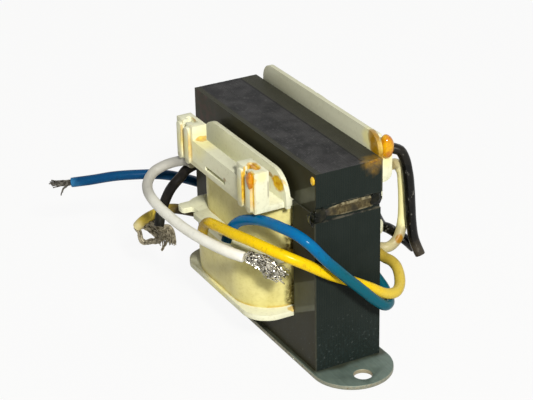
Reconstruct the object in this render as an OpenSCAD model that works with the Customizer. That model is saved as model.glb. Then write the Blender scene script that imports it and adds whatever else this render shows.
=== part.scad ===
// Small mains transformer on a flat foot plate: a welded core of E and bar laminations, a
// two-section bobbin with guard walls and lead posts, taped windings and cut hook-up leads.
// Millimetres. Origin in the middle of the foot plate's underside, +X along the core's width,
// +Y from the front of the coil to its back, +Z up.

/* [Core] */
// Width of the centre leg of the E stack
tongue_w = 22; // [18:0.5:26]
// Width of each outer leg
leg_w = 11; // [8:0.5:14]
// Width of each winding window
window_w = 11; // [10:0.5:14]
// Height of the winding windows
window_h = 33; // [28:0.5:44]
// Height of the yoke below the windows
yoke_h = 11; // [8:0.5:14]
// Height of the bar stack that closes the windows
bar_h = 11; // [8:0.5:14]
// Depth of the lamination stacks
stack_t = 19; // [15:0.5:28]
// How far the bar stack sits behind the E stack
bar_shift = 0.5; // [0:0.1:0.8]
// Height of the groove across the joint of the two stacks, on each end face
groove_h = 4.2; // [3.4:0.1:6]
// Depth of that groove
groove_d = 0.5; // [0.3:0.05:1]
// Height of the weld bead in the groove
weld_h = 3.2; // [1.5:0.1:3.4]
// How far the weld bead stands proud of the groove's floor
weld_proud = 0.4; // [0.2:0.05:1]
// Distance from the ends of the weld bead to the faces of the stack
weld_inset = 0.5; // [0.3:0.1:4]

/* [Foot plate] */
// Thickness of the plate
plate_t = 1.2; // [0.8:0.1:2.5]
// How far each ear reaches past the end of the core
ear_l = 12; // [9.5:0.5:16]
// How far the plate reaches past the front and back of the stack
plate_margin = 1.4; // [0.6:0.05:4]
// Diameter of the screw holes
hole_d = 4.8; // [3:0.1:5.5]
// Distance from the end of the core to the middle of a screw hole
hole_out = 7; // [4.5:0.5:8]
// How far the core sits in front of the plate's middle line
core_shift = 0.3; // [0:0.1:0.6]

/* [Bobbin] */
// Wall of the tube round the centre leg
tube_wall = 1.2; // [0.8:0.1:2]
// Gap between the tube and the centre leg
tube_clear = 0.3; // [0.1:0.05:0.6]
// Thickness of the three flanges
flange_t = 1.5; // [1:0.1:2.2]
// Gap between the flanges and the walls of the windows
flange_clear = 0.3; // [0.1:0.05:0.8]
// Gap between the top flange and the bar stack
top_clear = 0.2; // [0.1:0.05:0.6]
// How far the bottom and middle flanges reach past the stack
flange_reach = 11; // [10:0.2:16]
// Corner radius of the bottom and middle flanges
flange_r = 7; // [4:0.5:10]
// Width of the lug on the front edge of the middle flange
lug_w = 3.6; // [2.4:0.2:5]
// How far that lug reaches past the front edge
lug_out = 1.3; // [0.6:0.1:2]
// Width of the lead notch beside the lug
lead_notch_w = 3.8; // [3:0.2:5]
// Depth of that notch
lead_notch_d = 1.7; // [1:0.1:2.4]
// How far the top flange reaches past the stack
top_reach = 10.4; // [9.4:0.2:14]
// Height of the lower winding section
lower_h = 14.5; // [10:0.5:18]

/* [Lead posts] */
// Height of the lead posts above the top flange
post_h = 9.4; // [7:0.1:12]
// Width of each lead post
post_w = 9.2; // [7.6:0.2:12]
// Depth of the lead posts
post_d = 4.1; // [3:0.1:5.5]
// Height of the beam between the posts
beam_h = 5.6; // [3:0.1:6.5]
// Depth of the beam
beam_d = 3.5; // [2:0.1:4]
// Width of the slot at the foot of the beam
slot_w = 11; // [6:0.5:18]
// Height of that slot
slot_h = 1.2; // [0.6:0.1:2.4]
// Width of each rib on a post
rib_w = 2.5; // [1.6:0.1:2.8]
// Width of the wire notch between the two ribs
notch_w = 1.8; // [1:0.1:2.2]
// Depth of the wire notch and of the pocket behind it, from the top of a post
notch_h = 2.2; // [1:0.1:4]
// Length of the pocket
pocket_l = 4.8; // [3:0.1:5.6]
// Width of the pocket
pocket_w = 1.4; // [0.8:0.1:1.6]
// Distance from the front of a post to the middle of its pocket
pocket_in = 2.3; // [1.6:0.1:2.6]
// How far the ribs stand in front of the post
rib_proud = 0.7; // [0.4:0.1:1.5]
// Distance from the end of the flange to the outer rib
rib_inset = 1.1; // [0.4:0.1:1.6]
// How far the ribs stop below the top of a post
rib_low = 0.8; // [0:0.1:1.5]
// Corner radius of the ribs
rib_r = 0.9; // [0.3:0.1:1.2]
// How far the front ribs hang below the top flange
rib_drop = 0.1; // [0:0.1:2]
// Radius along the lower edge of the back posts
post_round = 2.4; // [1:0.1:3]

/* [Guard walls] */
// Thickness of the guard walls
guard_t = 1.2; // [0.8:0.1:2]
// Gap between the front guard wall and the core
guard_gap = 1; // [0.4:0.1:1.6]
// Gap between the back guard wall and the bar stack
back_gap = 0.6; // [0.3:0.1:1.2]
// Width of the front guard wall
front_guard_w = 46; // [30:0.5:56]
// Height of the front guard wall above the top flange
front_guard_h = 7.5; // [5:0.1:10]
// Corner radius of the front guard wall
front_guard_r = 7; // [2:0.5:7]
// Width of the back guard wall
back_guard_w = 60.2; // [46:0.2:64]
// Height of the back guard wall above the top flange
back_guard_h = 15.9; // [10:0.1:20]
// Corner radius of the back guard wall
back_guard_r = 4.5; // [2:0.5:8]

/* [Windings] */
// Gap between neighbouring layers
layer_gap = 0.1; // [0.05:0.05:0.2]
// Thickness of the tape between two windings
tape_t = 0.3; // [0.1:0.1:0.6]
// Thickness of the outer tape wraps
wrap_t = 0.5; // [0.2:0.1:0.8]
// Build of the inner winding of the upper section at its sides
upper_inner_side = 2.6; // [1:0.1:3]
// Build of the inner winding of the upper section at its faces
upper_inner_face = 1.9; // [1:0.1:4]
// Build of the outer winding of the upper section at its sides
upper_outer_side = 2.7; // [1:0.1:3]
// Build of the outer winding of the upper section at its faces
upper_outer_face = 2; // [1:0.1:4]
// Build of the inner winding of the lower section at its sides
lower_inner_side = 2.6; // [1:0.1:3]
// Build of the inner winding of the lower section at its faces
lower_inner_face = 3.8; // [1:0.1:4.5]
// Build of the outer winding of the lower section at its sides
lower_outer_side = 2.7; // [1:0.1:3]
// Build of the outer winding of the lower section at its faces
lower_outer_face = 3.9; // [1:0.1:4.5]
// Corner radius of the tube, where the innermost turn lies
tube_r = 1.5; // [0.5:0.1:2.5]
// Corner radius of the upper tape wrap
upper_wrap_r = 8; // [4:0.5:9]
// Corner radius of the lower tape wrap
lower_wrap_r = 11; // [4:0.5:12]

/* [Leads] */
// Diameter of the leads over their insulation
lead_d = 2.8; // [2:0.1:2.8]
// Diameter of the bare conductor where it leaves the insulation
conductor_d = 1.6; // [1:0.1:2]
// Diameter of a varnish bead on a lead post
bead_d = 4.4; // [3:0.1:5]

/* [Hidden] */
core_w = tongue_w + 2 * leg_w + 2 * window_w;
weld_x = core_w / 2 - groove_d;
e_h = yoke_h + window_h;
plate_w = stack_t + 2 * plate_margin;
plate_l = core_w + 2 * ear_l;
hole_pitch = core_w + 2 * hole_out;
// The front face, back face and middle line of the E stack
core_y = -core_shift;
core_front = core_y - stack_t / 2;
core_back = core_y + stack_t / 2;
// Heights of the window's floor, the joint of the two stacks, and the flanges
window_z = plate_t + yoke_h;
joint_z = plate_t + e_h;
flange_w = tongue_w + 2 * window_w - 2 * flange_clear;
lower_z = window_z + flange_t;
middle_z = lower_z + lower_h;
upper_z = middle_z + flange_t;
top_z = joint_z - top_clear;
upper_h = top_z - flange_t - upper_z;
tube_x = tongue_w / 2 + tube_clear + tube_wall;
tube_y = stack_t / 2 + tube_clear + tube_wall;
// Outer faces of the top flange at the front and back, and the top of the lead posts
post_front = core_front - top_reach;
post_back = core_back + top_reach;
post_top = top_z + post_h;
rib_outer_x = flange_w / 2 - rib_inset - rib_w / 2;
rib_inner_x = rib_outer_x - rib_w - notch_w;
notch_x = (rib_outer_x + rib_inner_x) / 2;
// Middle of the lug and of the notch beside it, on the left of the middle flange
lug_x = flange_w / 2 - flange_r / 2;
lead_notch_x = lug_x - (lug_w + lead_notch_w) / 2;
// Running totals of the layers from the tube outwards: winding, tape, winding, wrap
upper_side = [upper_inner_side, tape_t, upper_outer_side, wrap_t];
upper_face = [upper_inner_face, tape_t, upper_outer_face, wrap_t];
lower_side = [lower_inner_side, tape_t, lower_outer_side, wrap_t];
lower_face = [lower_inner_face, tape_t, lower_outer_face, wrap_t];
// Sides of a swept lead and a margin by which cuts pass through
lead_sides = 8;
cut = 1;
$fn = 64;

// Routes of the leads, each from the coil or its post to its cut end
white_route = [
    [-17, -18.4, 42], [-19.7, -18.8, 41.9], [-23.4, -19.8, 40.4], [-25.5, -21.3, 39.3],
    [-26.5, -23.1, 38.4], [-26.9, -24.9, 37.5], [-25.9, -26.7, 36.9], [-24.3, -28.3, 36.2],
    [-22.5, -29.4, 35.8], [-19.8, -30.3, 35.2], [-14.3, -31, 34.7], [-7, -31, 34.3],
    [2, -30.2, 33.8], [10.7, -28.6, 33.6], [17.8, -26, 33.1], [21.4, -23.5, 32.5]];
black_route_1 = [
    [-20.5, -5.2, 40.2], [-20.5, -11.5, 40.2], [-21.3, -15.4, 39.3], [-22.1, -18, 37.9],
    [-22.7, -19.3, 36], [-23, -21.1, 34.3], [-24, -22.2, 32.1], [-24.7, -23.2, 29.5],
    [-24.7, -24.3, 27], [-24.5, -25.2, 24.8], [-23.7, -26, 22.5]];
black_route_2 = [
    [19.3, 21.1, 51.2], [20.3, 22.8, 50.5], [21.2, 23.7, 48.3], [22, 24.2, 44.6],
    [22.2, 24.6, 40.5], [22.5, 24.8, 35.4], [22.4, 25.2, 30.7], [22.5, 26, 25.5],
    [23.4, 26.5, 23.1], [24.3, 27, 21.2]];
black_route_3 = [
    [-2.4, 17.3, 33.7], [2, 17.3, 33.6], [4.4, 18.9, 33.1], [6.4, 21.5, 31.3],
    [8, 22.6, 28.6], [10, 22.7, 26.6], [12.4, 22.7, 25.6], [14.3, 23.3, 25.6],
    [16, 24.2, 25], [17.7, 25.2, 24.1], [18.7, 26.6, 22.7], [19.3, 28.3, 20.7]];
cream_route = [
    [19.3, 20.75, 46.6], [18.9, 22.5, 46.3], [18.9, 24.2, 44], [18.9, 24.8, 39.4],
    [19.1, 24.9, 34.3], [19.2, 24.7, 30.3], [19.6, 23.9, 27.5], [20.3, 22.5, 25.5],
    [20.4, 20.7, 24], [20.4, 19, 23.7], [17, 15.3, 23.6]];
blue_route_1 = [
    [-17.4, 14.6, 25.5], [-22.3, 17.2, 25], [-29, 17.4, 24.2], [-34.2, 13.4, 23.4],
    [-36.3, 7, 23], [-36.6, 0.5, 23.4], [-36.6, -5.9, 25.2], [-37.3, -9.8, 27],
    [-38.6, -14.7, 28.9], [-40.1, -18.7, 29.7], [-42, -22.9, 29.9], [-45.2, -29.1, 29.6],
    [-48.6, -35.3, 28.5], [-51, -39.9, 27.9]];
blue_route_2 = [
    [18.75, 12.9, 19], [23.2, 12.9, 19.5], [27.2, 11.9, 19.8], [30.9, 11.6, 18.9],
    [34, 10.9, 18], [36.8, 9.6, 17.8], [38.6, 7.3, 18.4], [39.2, 4.3, 20.8],
    [39.5, -0.3, 25.5], [39.3, -5.2, 30.6], [38.3, -9.9, 35.8], [36.6, -13.1, 39.9],
    [33.7, -15.1, 41.8], [28.8, -16.8, 42.2], [22.9, -17.8, 41.5], [17.5, -18.9, 40.1],
    [13, -20, 38], [10.5, -20.9, 35.6], [9.7, -21.6, 33.6], [9.8, -22.5, 31.5]];
yellow_route_1 = [
    [-20.5, -3.4, 24.2], [-20.5, -7, 24.2], [-20.5, -10.9, 24.3], [-21.9, -14.8, 24.6],
    [-24.7, -18.6, 25.2], [-26, -20.5, 25.4], [-27.6, -22.8, 24.9], [-28.8, -24.8, 23.7],
    [-29.9, -26.4, 22.6], [-31.2, -27.6, 21.2], [-32.8, -28.5, 19.1]];
yellow_route_2 = [
    [18.75, 12.9, 25.5], [21.2, 13.8, 25.4], [24.7, 15.6, 23.6], [27.4, 16.1, 23.6],
    [30.3, 15.9, 23.2], [33.4, 14.8, 22.1], [36, 13.1, 21.1], [37.8, 10.7, 20.8],
    [37.8, 8, 21.2], [36.6, 4, 23.4], [35.8, -1.4, 26.5], [35.4, -6.9, 29.5],
    [34.8, -12.2, 33], [32.6, -16.5, 35.4], [28.5, -20.1, 37], [23.1, -22.5, 37.6],
    [16.5, -24.1, 37.2], [9.4, -24.7, 36.3], [4.5, -25, 35.2], [2, -25, 32.8],
    [0.5, -24.8, 29.4]];
// Routes of the bare strands, each straight out of the cut end of its lead at first
white_strand_route = [
    past_end(white_route, 0), past_end(white_route, 2), [26.2, -20.3, 31.2], [28.8, -17.6, 29.6]];
black_strand_route = [
    past_end(black_route_1, 0), past_end(black_route_1, 1.6), [-22, -25.6, 19], [-20.3, -24.2, 17.2]];
blue_strand_route = [past_end(blue_route_1, 0), past_end(blue_route_1, 5.6)];
yellow_strand_route = [
    past_end(yellow_route_1, 0), past_end(yellow_route_1, 1.2), [-32.7, -29, 16.4],
    [-31.1, -28.2, 15.1], [-29.4, -26.3, 15.2], [-27.7, -24.2, 16]];

function unit(v) = v / norm(v);

// Direction of a route at point i
function heading(route, i) =
    unit(route[min(i + 1, len(route) - 1)] - route[max(i - 1, 0)]);

// Point a given distance straight past the end of a route
function past_end(route, distance) =
    route[len(route) - 1] + distance * heading(route, len(route) - 1);

// A direction square to v, to start a sweep from
function square_to(v) = unit(cross(v, abs(v.z) < 0.9 ? [0, 0, 1] : [1, 0, 0]));

// What is left of a direction n once its share along v is taken away
function flattened(n, v) = unit(n - (n * v) * v);

// One side direction for each point of a route, carried along it without twist
function sides_of(route) = [
    for (i = 0, n = square_to(heading(route, 0));
         i < len(route);
         i = i + 1, n = flattened(n, heading(route, min(i, len(route) - 1))))
    n];

// Sum of the first n entries of a list
function total(list, n) = n == 0 ? 0 : list[n - 1] + total(list, n - 1);

// Rectangle with rounded corners, centred
module rounded_outline(w, d, r) {
    square([w - 2 * r, d], center = true);
    square([w, d - 2 * r], center = true);
    for (x = [-1, 1], y = [-1, 1])
        translate([x * (w / 2 - r), y * (d / 2 - r)])
            circle(r);
}

// Wall outline that stands on the x axis with its two upper corners rounded
module arched_outline(w, h, r) {
    difference() {
        translate([-w / 2, 0])
            square([w, h]);
        for (x = [-1, 1])
            translate([x * (w / 2 - r), h - r])
                difference() {
                    translate([x > 0 ? 0 : -r - cut, 0])
                        square(r + cut);
                    circle(r);
                }
    }
}

// Round tube swept along a route, with one radius for each of its points
module swept(route, radii) {
    last = len(route) - 1;
    side = sides_of(route);
    rings = [
        for (i = [0:last], k = [0:lead_sides - 1])
        let (a = 360 * k / lead_sides, up = cross(heading(route, i), side[i]))
        route[i] + radii[i] * (cos(a) * side[i] + sin(a) * up)];
    walls = [
        for (i = [0:last - 1], k = [0:lead_sides - 1])
        let (a = i * lead_sides + k, b = i * lead_sides + (k + 1) % lead_sides)
        each [[a, a + lead_sides, b], [b, a + lead_sides, b + lead_sides]]];
    start = [for (k = [0:lead_sides - 1]) k];
    end = [for (k = [lead_sides - 1:-1:0]) last * lead_sides + k];
    polyhedron(points = rings, faces = concat([start], walls, [end]), convexity = 6);
}

module lead(route) {
    swept(route, [for (p = route) lead_d / 2]);
}

// Bare strands that spread from the conductor's diameter at the cut to a wider tip
module strands(route, spread) {
    last = len(route) - 1;
    swept(route, [for (i = [0:last]) conductor_d / 2 * (1 + (spread - 1) * i / last)]);
}

module base_plate() {
    color("slategray")
        linear_extrude(plate_t)
            difference() {
                union() {
                    square([plate_l - plate_w, plate_w], center = true);
                    for (x = [-1, 1])
                        translate([x * (plate_l - plate_w) / 2, 0])
                            circle(d = plate_w);
                }
                for (x = [-1, 1])
                    translate([x * hole_pitch / 2, 0])
                        circle(d = hole_d);
            }
}

module e_core() {
    color([0.13, 0.13, 0.11])
        translate([0, core_back, plate_t])
            rotate([90, 0, 0])
                linear_extrude(stack_t)
                    difference() {
                        translate([-core_w / 2, 0])
                            square([core_w, e_h]);
                        for (x = [-1, 1]) {
                            translate([x * (tongue_w + window_w) / 2 - window_w / 2, yoke_h])
                                square([window_w, window_h + cut]);
                            translate([x * core_w / 2 - groove_d, e_h - groove_h / 2])
                                square([2 * groove_d, groove_h]);
                        }
                    }
}

module i_core() {
    color([0.15, 0.15, 0.13])
        translate([0, core_back + bar_shift, joint_z])
            rotate([90, 0, 0])
                linear_extrude(stack_t)
                    difference() {
                        translate([-core_w / 2, 0])
                            square([core_w, bar_h]);
                        for (x = [-1, 1])
                            translate([x * core_w / 2 - groove_d, -groove_h / 2])
                                square([2 * groove_d, groove_h]);
                    }
}

// Low rounded bead in the groove over the joint of the two stacks, at the end x = -1 or 1
module weld(x) {
    bead_l = stack_t - 2 * weld_inset - bar_shift;
    bead_r = (weld_h * weld_h / 4 + weld_proud * weld_proud) / (2 * weld_proud);
    color([0.35, 0.32, 0.26])
        intersection() {
            translate([x * (weld_x + weld_proud - bead_r), core_y + bar_shift / 2, joint_z])
                rotate([90, 0, 0])
                    cylinder(r = bead_r, h = bead_l, center = true);
            translate([x * (weld_x + weld_h / 2), core_y, joint_z])
                cube([weld_h, stack_t, weld_h], center = true);
        }
}

// Flange with rounded corners, standing on height z
module flange(z) {
    translate([0, core_y, z])
        linear_extrude(flange_t)
            rounded_outline(flange_w, stack_t + 2 * flange_reach, flange_r);
}

// Middle flange, with a lead notch in its front edge and a lug that holds a lead there
module middle_flange() {
    edge_y = core_front - flange_reach;
    difference() {
        union() {
            flange(middle_z);
            translate([-lug_x, edge_y + flange_r / 2 - lug_out / 2, middle_z])
                linear_extrude(flange_t)
                    rounded_outline(lug_w, flange_r + lug_out, lug_w / 3);
        }
        translate([-lead_notch_x, edge_y, middle_z - cut])
            linear_extrude(flange_t + 2 * cut)
                rounded_outline(lead_notch_w, 2 * lead_notch_d, lead_notch_d / 2);
    }
}

// Guard wall on the top flange, with its front face at y
module guard_wall(y, w, h, r) {
    translate([0, y + guard_t, top_z - flange_t])
        rotate([90, 0, 0])
            linear_extrude(guard_t)
                arched_outline(w, h + flange_t, r);
}

// Two lead posts with their ribs, wire notches and pockets and the beam between them, at the
// edge of the top flange.
// The posts face -Y from the plane y = face, and the ribs start at height rib_z.
module lead_block(face, rib_z) {
    rib_h = post_top - rib_low - rib_z;
    difference() {
        union() {
            translate([-flange_w / 2, face, top_z - flange_t])
                cube([flange_w, beam_d, flange_t + beam_h]);
            for (x = [-1, 1]) {
                translate([x * (flange_w - post_w) / 2 - post_w / 2, face, top_z - flange_t])
                    cube([post_w, post_d, flange_t + post_h]);
                for (rib_x = [rib_inner_x, rib_outer_x])
                    translate([x * rib_x, face + rib_w / 2, rib_z + rib_h / 2])
                        rotate([90, 0, 0])
                            linear_extrude(rib_proud + rib_w / 2)
                                rounded_outline(rib_w, rib_h, rib_r);
            }
        }
        translate([-slot_w / 2, face - cut, top_z])
            cube([slot_w, beam_d + 2 * cut, slot_h]);
        for (x = [-1, 1]) {
            translate([x * notch_x - notch_w / 2, face - rib_proud - cut, post_top - notch_h])
                cube([notch_w, cut + rib_proud + pocket_in, notch_h + cut]);
            translate([x * notch_x, face + pocket_in, post_top - notch_h])
                linear_extrude(notch_h + cut)
                    rounded_outline(pocket_l, pocket_w, pocket_w / 3);
        }
        // Room for the winding below the flange, behind the hanging ends of the ribs
        translate([-flange_w / 2, face, top_z - flange_t - rib_drop - cut])
            cube([flange_w, post_d, rib_drop + cut]);
    }
}

// What is cut away to round the lower edge of the back posts
module post_edge_cut() {
    translate([-flange_w / 2 - cut, post_back - post_round, top_z - flange_t])
        difference() {
            translate([0, 0, -cut])
                cube([flange_w + 2 * cut, post_round + cut, post_round + cut]);
            translate([-cut, 0, post_round])
                rotate([0, 90, 0])
                    cylinder(r = post_round, h = flange_w + 4 * cut);
        }
}

// Front and back halves of the top of the bobbin: flange, guard wall and lead posts
module bobbin_top() {
    difference() {
        union() {
            translate([-flange_w / 2, post_front, top_z - flange_t])
                cube([flange_w, post_back - post_front, flange_t]);
            translate([0, post_back + post_front, 0])
                mirror([0, 1, 0])
                    lead_block(post_front, top_z);
        }
        post_edge_cut();
    }
    lead_block(post_front, top_z - flange_t - rib_drop);
    guard_wall(core_front - guard_gap - guard_t, front_guard_w, front_guard_h, front_guard_r);
    guard_wall(core_back + bar_shift + back_gap, back_guard_w, back_guard_h, back_guard_r);
}

module bobbin() {
    color("ivory")
        difference() {
            union() {
                flange(window_z);
                middle_flange();
                bobbin_top();
                translate([0, core_y, window_z])
                    linear_extrude(top_z - window_z)
                        rounded_outline(2 * tube_x, 2 * tube_y, tube_r);
            }
            translate([0, core_y, window_z - cut])
                linear_extrude(top_z - window_z + 2 * cut)
                    square([tongue_w + 2 * tube_clear, stack_t + 2 * tube_clear], center = true);
        }
}

// Outline of a wound section after its first n layers, grown further by a gap. Its corners
// grow from the tube's radius to that of its outer wrap.
module wound_outline(side, face, wrap_r, n, gap) {
    w = tube_x + total(side, n) + n * layer_gap + gap;
    d = tube_y + total(face, n) + n * layer_gap + gap;
    share = (total(side, n) + n * layer_gap) / (total(side, len(side)) + len(side) * layer_gap);
    translate([0, core_y])
        rounded_outline(2 * w, 2 * d, tube_r + (wrap_r - tube_r) * share + gap);
}

// Layer n of a wound section that stands on height z
module layer(side, face, wrap_r, n, z, h) {
    translate([0, 0, z])
        linear_extrude(h - layer_gap)
            difference() {
                wound_outline(side, face, wrap_r, n, 0);
                wound_outline(side, face, wrap_r, n - 1, layer_gap);
            }
}

module primary_inner() {
    color("sienna")
        layer(upper_side, upper_face, upper_wrap_r, 1, upper_z, upper_h);
}

module primary_insulation() {
    color("khaki")
        layer(upper_side, upper_face, upper_wrap_r, 2, upper_z, upper_h);
}

module primary_outer() {
    color("sienna")
        layer(upper_side, upper_face, upper_wrap_r, 3, upper_z, upper_h);
}

module upper_wrap() {
    color("darkkhaki")
        layer(upper_side, upper_face, upper_wrap_r, 4, upper_z, upper_h);
}

module secondary_inner() {
    color("sienna")
        layer(lower_side, lower_face, lower_wrap_r, 1, lower_z, lower_h);
}

module secondary_insulation() {
    color("khaki")
        layer(lower_side, lower_face, lower_wrap_r, 2, lower_z, lower_h);
}

module secondary_outer() {
    color("sienna")
        layer(lower_side, lower_face, lower_wrap_r, 3, lower_z, lower_h);
}

module lower_wrap() {
    color("palegoldenrod")
        layer(lower_side, lower_face, lower_wrap_r, 4, lower_z, lower_h);
}

// Bead of set varnish that has run down from point p over a length, hugging the bobbin
module varnish_bead(p, length, d) {
    color("darkorange")
        difference() {
            translate(p) {
                sphere(d = d);
                translate([0, 0, -length]) {
                    sphere(d = d);
                    cylinder(d = d, h = length);
                }
            }
            bobbin();
        }
}

module back_post_varnish() {
    varnish_bead([flange_w / 2, post_back - post_d / 2, post_top], bead_d / 2, bead_d);
}

module front_post_varnish() {
    varnish_bead([rib_outer_x, post_front - rib_proud, post_top - bead_d / 2], bead_d / 2, rib_w);
}

module white_lead() {
    color("whitesmoke") lead(white_route);
}

module black_lead_1() {
    color([0.08, 0.08, 0.08]) lead(black_route_1);
}

module black_lead_2() {
    color([0.08, 0.08, 0.08]) lead(black_route_2);
}

module black_lead_3() {
    color([0.08, 0.08, 0.08]) lead(black_route_3);
}

module cream_lead() {
    color("cornsilk") lead(cream_route);
}

module blue_lead_1() {
    color("steelblue") lead(blue_route_1);
}

module blue_lead_2() {
    color("steelblue") lead(blue_route_2);
}

module yellow_lead_1() {
    color("gold") lead(yellow_route_1);
}

module yellow_lead_2() {
    color("gold") lead(yellow_route_2);
}

module white_strands() {
    color("silver") strands(white_strand_route, 2);
}

module black_strands() {
    color("gray") strands(black_strand_route, 1.6);
}

module blue_strands() {
    color("dimgray") strands(blue_strand_route, 1);
}

module yellow_strands() {
    color("gray") strands(yellow_strand_route, 1);
}

base_plate();
e_core();
i_core();
weld(-1);  // weld_left
weld(1);  // weld_right
bobbin();
primary_inner();
primary_insulation();
primary_outer();
upper_wrap();
secondary_inner();
secondary_insulation();
secondary_outer();
lower_wrap();
white_lead();
black_lead_1();
black_lead_2();
black_lead_3();
cream_lead();
blue_lead_1();
blue_lead_2();
yellow_lead_1();
yellow_lead_2();
white_strands();
black_strands();
blue_strands();
yellow_strands();
back_post_varnish();
front_post_varnish();
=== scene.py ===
"""A small mains transformer on a flat foot plate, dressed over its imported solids.

Each sub-assembly is a class that builds its meshes and gives them their finish. Sizes are in
millimetres in the part's own frame and turn into metres where a mesh is made.
"""

import logging
import math
import random
from dataclasses import dataclass
from enum import Enum
from typing import Dict, List, Optional, Sequence, Tuple, Union

import bmesh
import bpy
from mathutils import Matrix, Vector, noise


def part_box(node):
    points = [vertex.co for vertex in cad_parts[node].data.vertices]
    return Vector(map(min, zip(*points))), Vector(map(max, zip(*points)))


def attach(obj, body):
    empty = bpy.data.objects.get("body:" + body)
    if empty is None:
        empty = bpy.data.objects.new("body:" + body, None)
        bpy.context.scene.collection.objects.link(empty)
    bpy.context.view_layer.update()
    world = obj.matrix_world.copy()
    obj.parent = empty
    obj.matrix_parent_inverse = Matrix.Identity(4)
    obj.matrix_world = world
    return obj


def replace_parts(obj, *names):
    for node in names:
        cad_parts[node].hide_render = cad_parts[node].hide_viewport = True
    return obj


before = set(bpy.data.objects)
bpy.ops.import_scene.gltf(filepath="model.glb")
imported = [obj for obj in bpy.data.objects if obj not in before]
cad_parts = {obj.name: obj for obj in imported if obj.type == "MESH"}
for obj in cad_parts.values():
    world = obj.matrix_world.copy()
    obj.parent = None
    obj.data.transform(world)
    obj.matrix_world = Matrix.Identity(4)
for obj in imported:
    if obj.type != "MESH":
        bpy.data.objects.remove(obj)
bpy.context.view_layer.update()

LOG = logging.getLogger("transformer")
MM = 0.001
BODY = "root"
FULL_TURN = 2.0 * math.pi
# Sizes of the core that its shape and its finishes share, in millimetres
SHEET_T = 0.5
JOINT_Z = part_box("e_core")[1].z / MM
GROOVE_H = 4.2

Triple = Tuple[float, float, float]
Route = Sequence[Triple]
Outline = List[Tuple[float, float]]

WHITE: Triple = (1.0, 1.0, 1.0)


# Shading


class Shade:
    """A socket of a node tree, with its maths written as operators."""

    def __init__(self, graph: "Nodes", socket: bpy.types.NodeSocket) -> None:
        """Wrap an output socket of the graph."""
        self.graph = graph
        self.socket = socket

    def _math(self, operation: str, first: "Number", second: "Number" = 0.0) -> "Shade":
        """Add one Math node and return its result."""
        return self.graph.add("ShaderNodeMath", {"operation": operation}, {0: first, 1: second})

    def __add__(self, other: "Number") -> "Shade":
        """Sum of two values."""
        return self._math("ADD", self, other)

    def __radd__(self, other: "Number") -> "Shade":
        """Sum of a number and this value."""
        return self._math("ADD", other, self)

    def __sub__(self, other: "Number") -> "Shade":
        """Difference of two values."""
        return self._math("SUBTRACT", self, other)

    def __rsub__(self, other: "Number") -> "Shade":
        """A number less this value."""
        return self._math("SUBTRACT", other, self)

    def __mul__(self, other: "Number") -> "Shade":
        """Product of two values."""
        return self._math("MULTIPLY", self, other)

    def __rmul__(self, other: "Number") -> "Shade":
        """Product of a number and this value."""
        return self._math("MULTIPLY", other, self)

    def most(self, other: "Number") -> "Shade":
        """The larger of two values."""
        return self._math("MAXIMUM", self, other)

    def wave(self) -> "Shade":
        """Sine of this value."""
        return self._math("SINE", self)

    def size(self) -> "Shade":
        """This value without its sign."""
        return self._math("ABSOLUTE", self)

    def rise(self, low: float, high: float) -> "Shade":
        """Smooth step of this value.

        Args:
            low: value at which the step starts, where the result is 0.
            high: value at which the step ends, where the result is 1.

        Returns:
            The step, from 0 to 1. It falls where high is below low.
        """
        if high < low:
            return 1.0 - self.rise(high, low)
        return self.graph.add(
            "ShaderNodeMapRange",
            {"interpolation_type": "SMOOTHSTEP"},
            {"Value": self, "From Min": low, "From Max": high, "To Min": 0.0, "To Max": 1.0},
        )


Number = Union[float, Shade]
Colour = Union[Triple, Shade]


class Nodes:
    """A node tree to which nodes are added one by one."""

    def __init__(self, tree: bpy.types.NodeTree) -> None:
        """Start from an emptied tree."""
        self.tree = tree
        self.tree.nodes.clear()

    def set(self, socket: bpy.types.NodeSocket, value: Union[Number, Colour]) -> None:
        """Link a socket to a shade, or give it a plain value.

        Args:
            socket: the input.
            value: what it gets.
        """
        if isinstance(value, Shade):
            self.tree.links.new(value.socket, socket)
        elif isinstance(value, tuple) and socket.type == "RGBA":
            socket.default_value = (*value, 1.0)
        else:
            socket.default_value = value

    def add(
        self,
        kind: str,
        settings: Optional[Dict[str, object]] = None,
        inputs: Optional[Dict[Union[int, str], Union[Number, Colour]]] = None,
        output: Union[int, str] = 0,
    ) -> Shade:
        """Add one node.

        Args:
            kind: the node's type.
            settings: its own settings, which are set first.
            inputs: values or shades for its sockets, by name or place.
            output: the socket to return.

        Returns:
            The chosen output as a shade.
        """
        node = self.tree.nodes.new(kind)
        for key, value in (settings or {}).items():
            setattr(node, key, value)
        for key, value in (inputs or {}).items():
            self.set(node.inputs[key], value)
        return Shade(self, node.outputs[output])

    def seen(self) -> Shade:
        """Mask of the rays that show the backdrop.

        Returns:
            1 for rays that come straight, mirrored or through clear stuff, and else 0.
        """
        kinds = ("Camera", "Glossy", "Transmission")
        rays = [self.add("ShaderNodeLightPath", output=f"Is {kind} Ray") for kind in kinds]
        return rays[0].most(rays[1]).most(rays[2])


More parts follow.
